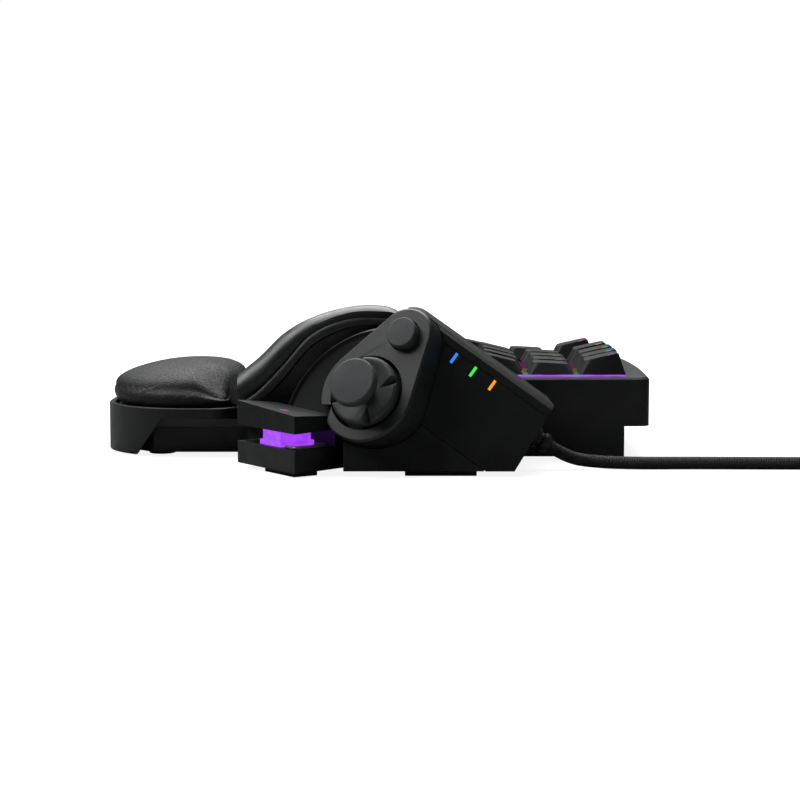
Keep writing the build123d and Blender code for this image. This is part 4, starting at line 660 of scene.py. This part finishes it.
def add_cable(material):
    """The whole cable as one smooth curve."""
    points = cable_points()
    data = bpy.data.curves.new("cable", "CURVE")
    data.dimensions = "3D"
    data.bevel_depth = CABLE_DIAMETER / 2
    data.bevel_resolution = CABLE_ROUND_STEPS
    data.resolution_u = CABLE_CURVE_STEPS
    data.use_fill_caps = True
    spline = data.splines.new("NURBS")
    spline.points.add(len(points) - 1)
    for point, place in zip(spline.points, points):
        point.co = (*place, 1.0)
    spline.order_u = 3
    spline.use_endpoint_u = True
    data.materials.append(material)
    cable = bpy.data.objects.new("cable", data)
    bpy.context.scene.collection.objects.link(cable)
    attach(cable, "base")
    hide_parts("cable_lead", "cable_coil")
    return cable


def spin_gland():
    """Bmesh of the gland, spun from its profile and turned into the cable's way out."""
    shape = bmesh.new()
    corners = [shape.verts.new((radius, 0, along)) for radius, along in GLAND_PROFILE]
    edges = [shape.edges.new(pair) for pair in zip(corners, corners[1:])]
    bmesh.ops.spin(
        shape, geom=corners + edges, cent=(0, 0, 0), axis=(0, 0, 1), angle=2 * pi,
        steps=GLAND_STEPS, use_merge=True, use_duplicate=False,
    )
    bmesh.ops.remove_doubles(shape, verts=shape.verts[:], dist=WELD_DISTANCE)
    bmesh.ops.recalc_face_normals(shape, faces=shape.faces[:])
    slope = radians(GLAND_SLOPE)
    way_out = Vector((0, sin(slope), -cos(slope)))
    turn = Vector((0, 0, 1)).rotation_difference(way_out).to_matrix().to_4x4()
    placed = Matrix.Translation(GLAND_PLACE) @ turn
    bmesh.ops.transform(shape, matrix=placed, verts=shape.verts[:])
    return shape


def add_gland(material):
    """Ringed, tapering strain relief at the module's slanted end."""
    piece = place_piece("cable_relief", spin_gland(), "base", material)
    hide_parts("cable_gland")


def add_cord(sleeve, case, hidden):
    """The cable with its gland and its plug."""
    cable = add_cable(sleeve)
    add_gland(case)
    plug = soften("usb_plug", PLUG_EDGE, hidden)


# Arch

def arc_points(start, middle, end, count):
    """Points along the arc through three points of a plane, without its last point."""
    ax, az = start
    bx, bz = middle[0] - ax, middle[1] - az
    cx, cz = end[0] - ax, end[1] - az
    twice = 2 * (bx * cz - bz * cx)
    first, second = bx * bx + bz * bz, cx * cx + cz * cz
    x = (cz * first - bz * second) / twice
    z = (bx * second - cx * first) / twice
    spoke = Vector((-x, -z))
    sweep = spoke.angle_signed(Vector((cx - x, cz - z)))
    half = spoke.angle_signed(Vector((bx - x, bz - z)))
    if half * sweep < 0:
        sweep -= 2 * pi * (1 if sweep > 0 else -1)
    places = []
    for index in range(count):
        turned = Matrix.Rotation(-sweep * index / count, 2) @ spoke
        places.append((ax + x + turned.x, az + z + turned.y))
    return places


def arch_values(along):
    """Top, lip and bead height of the arch at a share of its length."""
    last = len(ARCH_SHARES) - 1
    part = max(index for index in range(last) if ARCH_SHARES[index] <= along)
    before, start, end, after = (
        min(max(index, 0), last) for index in (part - 1, part, part + 1, part + 2)
    )
    run = ARCH_SHARES[end] - ARCH_SHARES[start]
    run_before = max(ARCH_SHARES[end] - ARCH_SHARES[before], run)
    run_after = max(ARCH_SHARES[after] - ARCH_SHARES[start], run)
    share = (along - ARCH_SHARES[start]) / run
    square = share * share
    cube = share * share * share
    values = []
    for row in (ARCH_TOPS, ARCH_LIPS, ARCH_BEADS):
        lead = (row[end] - row[before]) * run / run_before
        tail = (row[after] - row[start]) * run / run_after
        value = (2 * cube - 3 * square + 1) * row[start] + (cube - 2 * square + share) * lead
        value += (3 * square - 2 * cube) * row[end] + (cube - square) * tail
        values.append(value)
    return values


def arch_loop(along):
    """Closed section of the arch with its grooved bead, as points across Y."""
    top, lip, bead = arch_values(along)
    y = ARCH_REAR + along * ARCH_LENGTH
    rear_far = ARCH_NEAR - ARCH_REAR_WIDTH
    far = rear_far + along * (ARCH_FRONT_FAR - rear_far)
    far_z = ARCH_FAR_REAR_TOP + along * (ARCH_FAR_FRONT_TOP - ARCH_FAR_REAR_TOP)
    shoulder = max(top - ARCH_SHOULDER, lip + bead + 2 * GROOVE_HEIGHTS[-1])
    near = ARCH_NEAR - GROOVE_DEPTHS[-1]
    corner_x = near + ARCH_CORNER * (ARCH_WALL - near)
    corner = (corner_x, top - ARCH_CORNER_DROP * (top - shoulder))
    ridge = (ARCH_WALL, top)
    middle = ((ARCH_WALL + far) / 2, (top + far_z) / 2 + ARCH_BULGE * (top - far_z))
    points = [(ARCH_WALL, ARCH_BASE), (ARCH_WALL, lip)]
    for depth, share in zip(BEAD_DEPTHS, BEAD_SHARES):
        points.append((ARCH_NEAR - depth, lip + share * bead))
    for depth, height in zip(GROOVE_DEPTHS, GROOVE_HEIGHTS):
        points.append((ARCH_NEAR - depth, lip + bead + height))
    points += arc_points((near, shoulder), corner, ridge, SHOULDER_STEPS)
    points += arc_points(ridge, middle, (far, far_z), BACK_STEPS)
    points += [(far, far_z), (far, ARCH_BASE)]
    return [(x, y, z) for x, z in points]


def arch_height(x):
    """Height of the arch's rear edge at a place across it."""
    section = [(place[0], place[2]) for place in arch_loop(0.0)]
    edge = [point for point in section if point[1] > ARCH_FAR_REAR_TOP]
    low = max(point for point in edge if point[0] <= x)
    high = min(point for point in edge if point[0] > x)
    return low[1] + (x - low[0]) / (high[0] - low[0]) * (high[1] - low[1])


def tongue_loop(share):
    """Closed section of the tongue, narrower and lower towards its tip."""
    half = TONGUE_HALF_WIDTH + share * (TONGUE_TIP_HALF_WIDTH - TONGUE_HALF_WIDTH)
    y = ARCH_REAR - share * TONGUE_LENGTH
    steps = range(TONGUE_PARTS + 1)
    across = [TONGUE_X + half * (2 * index / TONGUE_PARTS - 1) for index in steps]
    foot = [(x, y, TONGUE_BOTTOM) for x in (across[-1], across[0])]
    return [(x, y, arch_height(x) - share * TONGUE_FALL) for x in across] + foot


def bridge_sections(shape, sections):
    """Closes a row of sections into one solid."""
    loops = []
    for section in sections:
        corners = [shape.verts.new(place) for place in section]
        loop = [shape.edges.new(pair) for pair in zip(corners, corners[1:] + corners[:1])]
        if loops:
            bmesh.ops.bridge_loops(shape, edges=loops[-1] + loop)
        loops.append(loop)
    for loop in (loops[0], loops[-1]):
        bmesh.ops.contextual_create(shape, geom=loop)


def add_arch(material):
    """Saddle-shaped bridge from the palm rest up to the keys, with its tongue behind."""
    shape = bmesh.new()
    bridge_sections(shape, [arch_loop(index / ARCH_STEPS) for index in range(ARCH_STEPS + 1)])
    bridge_sections(shape, [tongue_loop(share) for share in TONGUE_SHARES])
    bmesh.ops.recalc_face_normals(shape, faces=shape.faces[:])
    piece = place_piece("arch_skin", shape, "base", material)
    bevel_edges(piece, ARCH_EDGE)
    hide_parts("arch_shell")


# Numbers on the keys

def number_mesh(text, height):
    """Flat mesh of a number, standing at the origin."""
    curve = bpy.data.curves.new("number", "FONT")
    curve.body = text
    curve.size = height
    curve.resolution_u = NUMBER_CURVE_STEPS
    curve.align_x = "CENTER"
    curve.align_y = "CENTER"
    holder = bpy.data.objects.new("number", curve)
    bpy.context.scene.collection.objects.link(holder)
    mesh = baked_mesh(holder)
    bpy.data.objects.remove(holder)
    return mesh


def add_number(text, node, place, turn, material):
    """Number laid on the dished top of a key, slightly proud of it."""
    surface = bmesh.new()
    surface.from_mesh(NODES[node].data)
    tree = BVHTree.FromBMesh(surface)
    shape = bmesh.new()
    shape.from_mesh(number_mesh(text, NUMBER_HEIGHT))
    bmesh.ops.triangulate(shape, faces=shape.faces[:])
    bmesh.ops.subdivide_edges(shape, edges=shape.edges[:], cuts=1)
    bmesh.ops.triangulate(shape, faces=shape.faces[:])
    spin = Matrix.Translation(place) @ Matrix.Rotation(turn, 4, "Z")
    bmesh.ops.transform(shape, matrix=spin, verts=shape.verts[:])
    for corner in shape.verts:
        start = Vector((corner.co.x, corner.co.y, NUMBER_DROP_HEIGHT))
        hit = tree.ray_cast(start, Vector((0, 0, -1)))[0]
        corner.co.z = hit.z + NUMBER_PROUD if hit else place[2]
    surface.free()
    back = bmesh.ops.extrude_face_region(shape, geom=shape.faces[:])["geom"]
    low = [corner for corner in back if isinstance(corner, bmesh.types.BMVert)]
    bmesh.ops.translate(shape, vec=(0, 0, -2 * NUMBER_PROUD), verts=low)
    bmesh.ops.recalc_face_normals(shape, faces=shape.faces[:])
    place_piece("number_" + text, shape, NODE_BODY[node], material)


# Palm cushion

def work_in(piece):
    """Puts the result of the modifiers into the mesh and removes them."""
    mesh = baked_mesh(piece)
    piece.modifiers.clear()
    old = piece.data
    piece.data = mesh
    bpy.data.meshes.remove(old)


def blow_up(piece):
    """Swells a closed pad with air, held at its foot, with a limit on how far a point moves."""
    before = [corner.co.copy() for corner in piece.data.vertices]
    held = piece.vertex_groups.new(name="held")
    foot = [corner.index for corner in piece.data.vertices if corner.co.z < CUSHION_HELD]
    held.add(foot, 1.0, "REPLACE")
    cloth = piece.modifiers.new("filling", "CLOTH")
    cloth.settings.use_pressure = True
    cloth.settings.uniform_pressure_force = CUSHION_PRESSURE
    cloth.settings.effector_weights.gravity = 0
    cloth.settings.vertex_group_mass = "held"
    scene = bpy.context.scene
    for step in range(1, CLOTH_FRAMES + 1):
        scene.frame_set(step)
    mesh = baked_mesh(piece)
    for corner, start, swollen in zip(piece.data.vertices, before, mesh.vertices):
        move = swollen.co - start
        if move.length > CUSHION_SWELL:
            move = move.normalized() * CUSHION_SWELL
        corner.co = start + move
    piece.modifiers.clear()
    bpy.data.meshes.remove(mesh)
    scene.frame_set(1)


def ease(value, low, high):
    """Goes smoothly from 0 to 1 between two values."""
    share = min(max((value - low) / (high - low), 0.0), 1.0)
    return share * share * (3 - 2 * share)


def crease_cushion(mesh):
    """Presses in the seam, fills out the rear side and lowers the near lobe beside the tongue."""
    for corner in mesh.vertices:
        place, normal = corner.co, corner.normal
        seam = SEAM_HEIGHT + SEAM_RISE * (place.y - CUSHION_REAR) / CUSHION_LENGTH
        off = (place.z - seam) / SEAM_WIDTH
        depth = SEAM_DEPTH * 2.0 ** (-off * off)
        up = (place.z - REAR_SWELL_HEIGHT) / REAR_SWELL_SPREAD
        back = REAR_SWELL * 2.0 ** (-up * up) * ease(-place.y, *REAR_SWELL_ALONG)
        fall = LOBE_FALL * ease(place.x, *LOBE_ACROSS) * ease(place.y, *LOBE_ALONG)
        if place.z > CUSHION_HELD:
            down = fall * ease(place.z, *LOBE_HEIGHTS)
            corner.co = place - normal * depth - Vector((0.0, back, down))


def add_cushion(material):
    """Padded palm cushion in its tray."""
    shape = merged_copy("palm_cushion")
    low, high = (Vector(corner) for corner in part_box("palm_cushion"))
    middle = (low + high) / 2
    bmesh.ops.scale(
        shape, vec=CUSHION_SHRINK, space=Matrix.Translation(-middle), verts=shape.verts[:]
    )
    piece = place_piece("cushion_pad", shape, "palm_rest", material)
    even = piece.modifiers.new("even faces", "REMESH")
    even.mode = "VOXEL"
    even.voxel_size = CUSHION_VOXEL
    work_in(piece)
    blow_up(piece)
    softer = piece.modifiers.new("softer", "SMOOTH")
    softer.iterations = CUSHION_SMOOTHINGS
    finer = piece.modifiers.new("finer", "SUBSURF")
    finer.levels = 1
    finer.render_levels = 1
    work_in(piece)
    crease_cushion(piece.data)
    smoother = piece.modifiers.new("smoother", "SUBSURF")
    smoother.levels = 1
    smoother.render_levels = 1
    for face in piece.data.polygons:
        face.use_smooth = True
    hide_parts("palm_cushion")


# Keys, the lamps under them, and the painted purple reflection beside them

def add_glow_strip(material):
    """Thin glowing strip in the slit between the near keys and the rim of the case: painted
    light, the purple light from under the keys as reflected on the rim.
    """
    shape = bmesh.new()
    bmesh.ops.create_cube(shape, size=1.0)
    size = [high - low for low, high in zip(STRIP_LOW, STRIP_HIGH)]
    middle = [(high + low) / 2 for low, high in zip(STRIP_LOW, STRIP_HIGH)]
    bmesh.ops.scale(shape, vec=size, verts=shape.verts[:])
    bmesh.ops.translate(shape, vec=middle, verts=shape.verts[:])
    bmesh.ops.subdivide_edges(shape, edges=shape.edges[:], cuts=STRIP_CUTS, use_grid_fill=True)
    place_piece("key_glow_strip", shape, "base", material)


def number_place(node):
    """Where the number goes on a finger key: near the middle of its top."""
    low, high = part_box(node)
    x = (low[0] + high[0]) / 2 + NUMBER_ASIDE
    y = (low[1] + high[1]) / 2 + NUMBER_AHEAD
    return x, y, high[2]


def add_keys(material):
    """Rounded caps for the finger keys, and the lit numbers of all keys."""
    glows = [
        glowing_plastic("lamp colour %d" % (index + 1), glow, NUMBER_GLOW)
        for index, glow in enumerate(COLUMN_GLOWS)
    ]
    for number in range(1, KEY_COUNT + 1):
        node = "keycap_%02d" % number
        soften(node, CAP_EDGE, material)
        column = (number - 1) % len(COLUMN_GLOWS)
        add_number("%02d" % number, node, number_place(node), 0.0, glows[column])
    turn = radians(THUMB_NUMBER_TURN)
    add_number("%02d" % (KEY_COUNT + 1), "thumb_keycap", THUMB_NUMBER_PLACE, turn, glows[0])


# Finishes of the CAD nodes

def soften_all(finishes):
    """Rounded edges and the right finish for each shown moulding."""
    for finish, width, slot_name, nodes in finishes:
        for node in nodes:
            soften(node, width, finish)


def paint_all(finishes):
    """Gives each shown CAD node that keeps its own mesh the right finish."""
    for finish, nodes in finishes:
        for node in nodes:
            paint(node, finish)


# Surroundings

def add_floor():
    """Pale floor under the feet."""
    shape = bmesh.new()
    bmesh.ops.create_grid(shape, x_segments=1, y_segments=1, size=FLOOR_SIZE / 2)
    mesh = bpy.data.meshes.new("floor")
    shape.to_mesh(mesh)
    shape.free()
    floor = bpy.data.objects.new("floor", mesh)
    bpy.context.scene.collection.objects.link(floor)
    mesh.materials.append(backdrop_white("floor paint"))


def add_light(name, place, size, power):
    """Square soft light aimed at the keypad."""
    data = bpy.data.lights.new(name, "AREA")
    data.size = size
    data.energy = power
    light = bpy.data.objects.new(name, data)
    bpy.context.scene.collection.objects.link(light)
    light.location = place
    aim = Vector(AIM_POINT) - Vector(place)
    light.rotation_euler = aim.to_track_quat("-Z", "Y").to_euler()


def add_lights():
    """Three soft lights round the keypad."""
    add_light("key light", KEY_LIGHT_PLACE, KEY_LIGHT_SIZE, KEY_LIGHT_POWER)
    add_light("top light", TOP_LIGHT_PLACE, TOP_LIGHT_SIZE, TOP_LIGHT_POWER)
    add_light("fill light", FILL_LIGHT_PLACE, FILL_LIGHT_SIZE, FILL_LIGHT_POWER)


def add_world():
    """Sky that is white to the camera and through clear pieces, and dim to every other ray."""
    world = bpy.data.worlds.new("studio")
    bpy.context.scene.world = world
    world.use_nodes = True
    nodes = world.node_tree.nodes
    links = world.node_tree.links
    background = nodes["Background"]
    path = nodes.new("ShaderNodeLightPath")
    seen = nodes.new("ShaderNodeMath")
    seen.operation = "MAXIMUM"
    links.new(path.outputs["Is Camera Ray"], seen.inputs[0])
    links.new(path.outputs["Is Transmission Ray"], seen.inputs[1])
    level = nodes.new("ShaderNodeMapRange")
    level.inputs["To Min"].default_value = WORLD_LEVEL
    level.inputs["To Max"].default_value = 1.0
    links.new(seen.outputs["Value"], level.inputs["Value"])
    links.new(level.outputs["Result"], background.inputs["Strength"])
    background.inputs["Color"].default_value = WHITE


# The whole scene


def main():
    """Builds the scene."""
    add_camera()
    sleeve = braided_sleeve("woven sleeve")
    case = moulded_plastic("case plastic")
    hidden = moulded_plastic("switch plastic")
    add_cord(sleeve, case, hidden)
    panel = moulded_plastic("panel plastic")
    module = moulded_plastic("module plastic")
    caps = moulded_plastic("key plastic")
    # Lighter copy of the case plastic for the arch: painted highlight on its crest
    bridge = moulded_plastic("arch plastic painted lighter")
    touch = moulded_plastic("soft-touch plastic")
    rubber = soft_rubber("black rubber")
    steel = plated_steel("plated steel")
    dull_steel = plated_steel("dull steel")
    board = board_laminate("board laminate")
    lit_plate = striped_lamps(
        "lit plate", "X", COLUMNS_FAR, COLUMNS_NEAR, COLUMN_WASHES, WASH_STRENGTH
    )
    indicators = striped_lamps(
        "indicator lamps", "Y", LIGHTS_REAR, LIGHTS_FRONT, LIGHT_GLOWS, LIGHT_STRENGTH
    )
    thumb_lamp = glowing_plastic("thumb switch lamp", THUMB_GLOW, THUMB_STRENGTH)
    soften_all((
        (case, CASE_EDGE, "case_plastic", ("upper_case", "lower_case", "rear_base")),
        (case, PALM_EDGE, "case_plastic", ("palm_rest_shell",)),
        (case, SMALL_EDGE, "case_plastic", ("thumb_key_block", "module_lower_cover")),
        (module, MODULE_EDGE, "module_plastic", ("module_shell", "module_top_cover")),
        (panel, MODULE_EDGE, "module_plastic", ("thumb_panel",)),
        (touch, TOUCH_EDGE, "soft_touch", ("thumb_pad", "stick_cap", "mode_button")),
        (caps, THUMB_CAP_EDGE, "key_plastic", ("thumb_keycap",)),
        (thumb_lamp, TOUCH_EDGE, "clear_plastic", ("thumb_key_switch",)),
        (rubber, TOUCH_EDGE, "rubber", ("rubber_feet", "wheel_tyre")),
    ))
    add_arch(bridge)
    add_keys(caps)
    add_cushion(grained_leather("leatherette"))
    # Painted purple reflection on the case's rim beside the near keys
    add_glow_strip(glowing_plastic("painted purple reflection", PAINTED_PURPLE_LIGHT, STRIP_STRENGTH))
    paint_all((
        (lit_plate, ("switch_plate", "switch_housings")),
        (steel, ("case_screws", "usb_plug_shell")),
        (dull_steel, ("stabiliser_wire",)),
        (board, ("main_circuit_board", "thumb_circuit_board", "indicator_board")),
        (hidden, ("plate_pillars", "wheel_hub", "wheel_carrier", "wheel_encoder")),
        (hidden, ("slide_plate", "stick_socket", "gimbal_ring")),
        (case, ("thumb_bowl",)),
        (indicators, ("indicator_lights",)),
    ))
    add_floor()
    add_lights()
    add_world()
    bpy.context.scene.view_settings.view_transform = "Standard"


main()
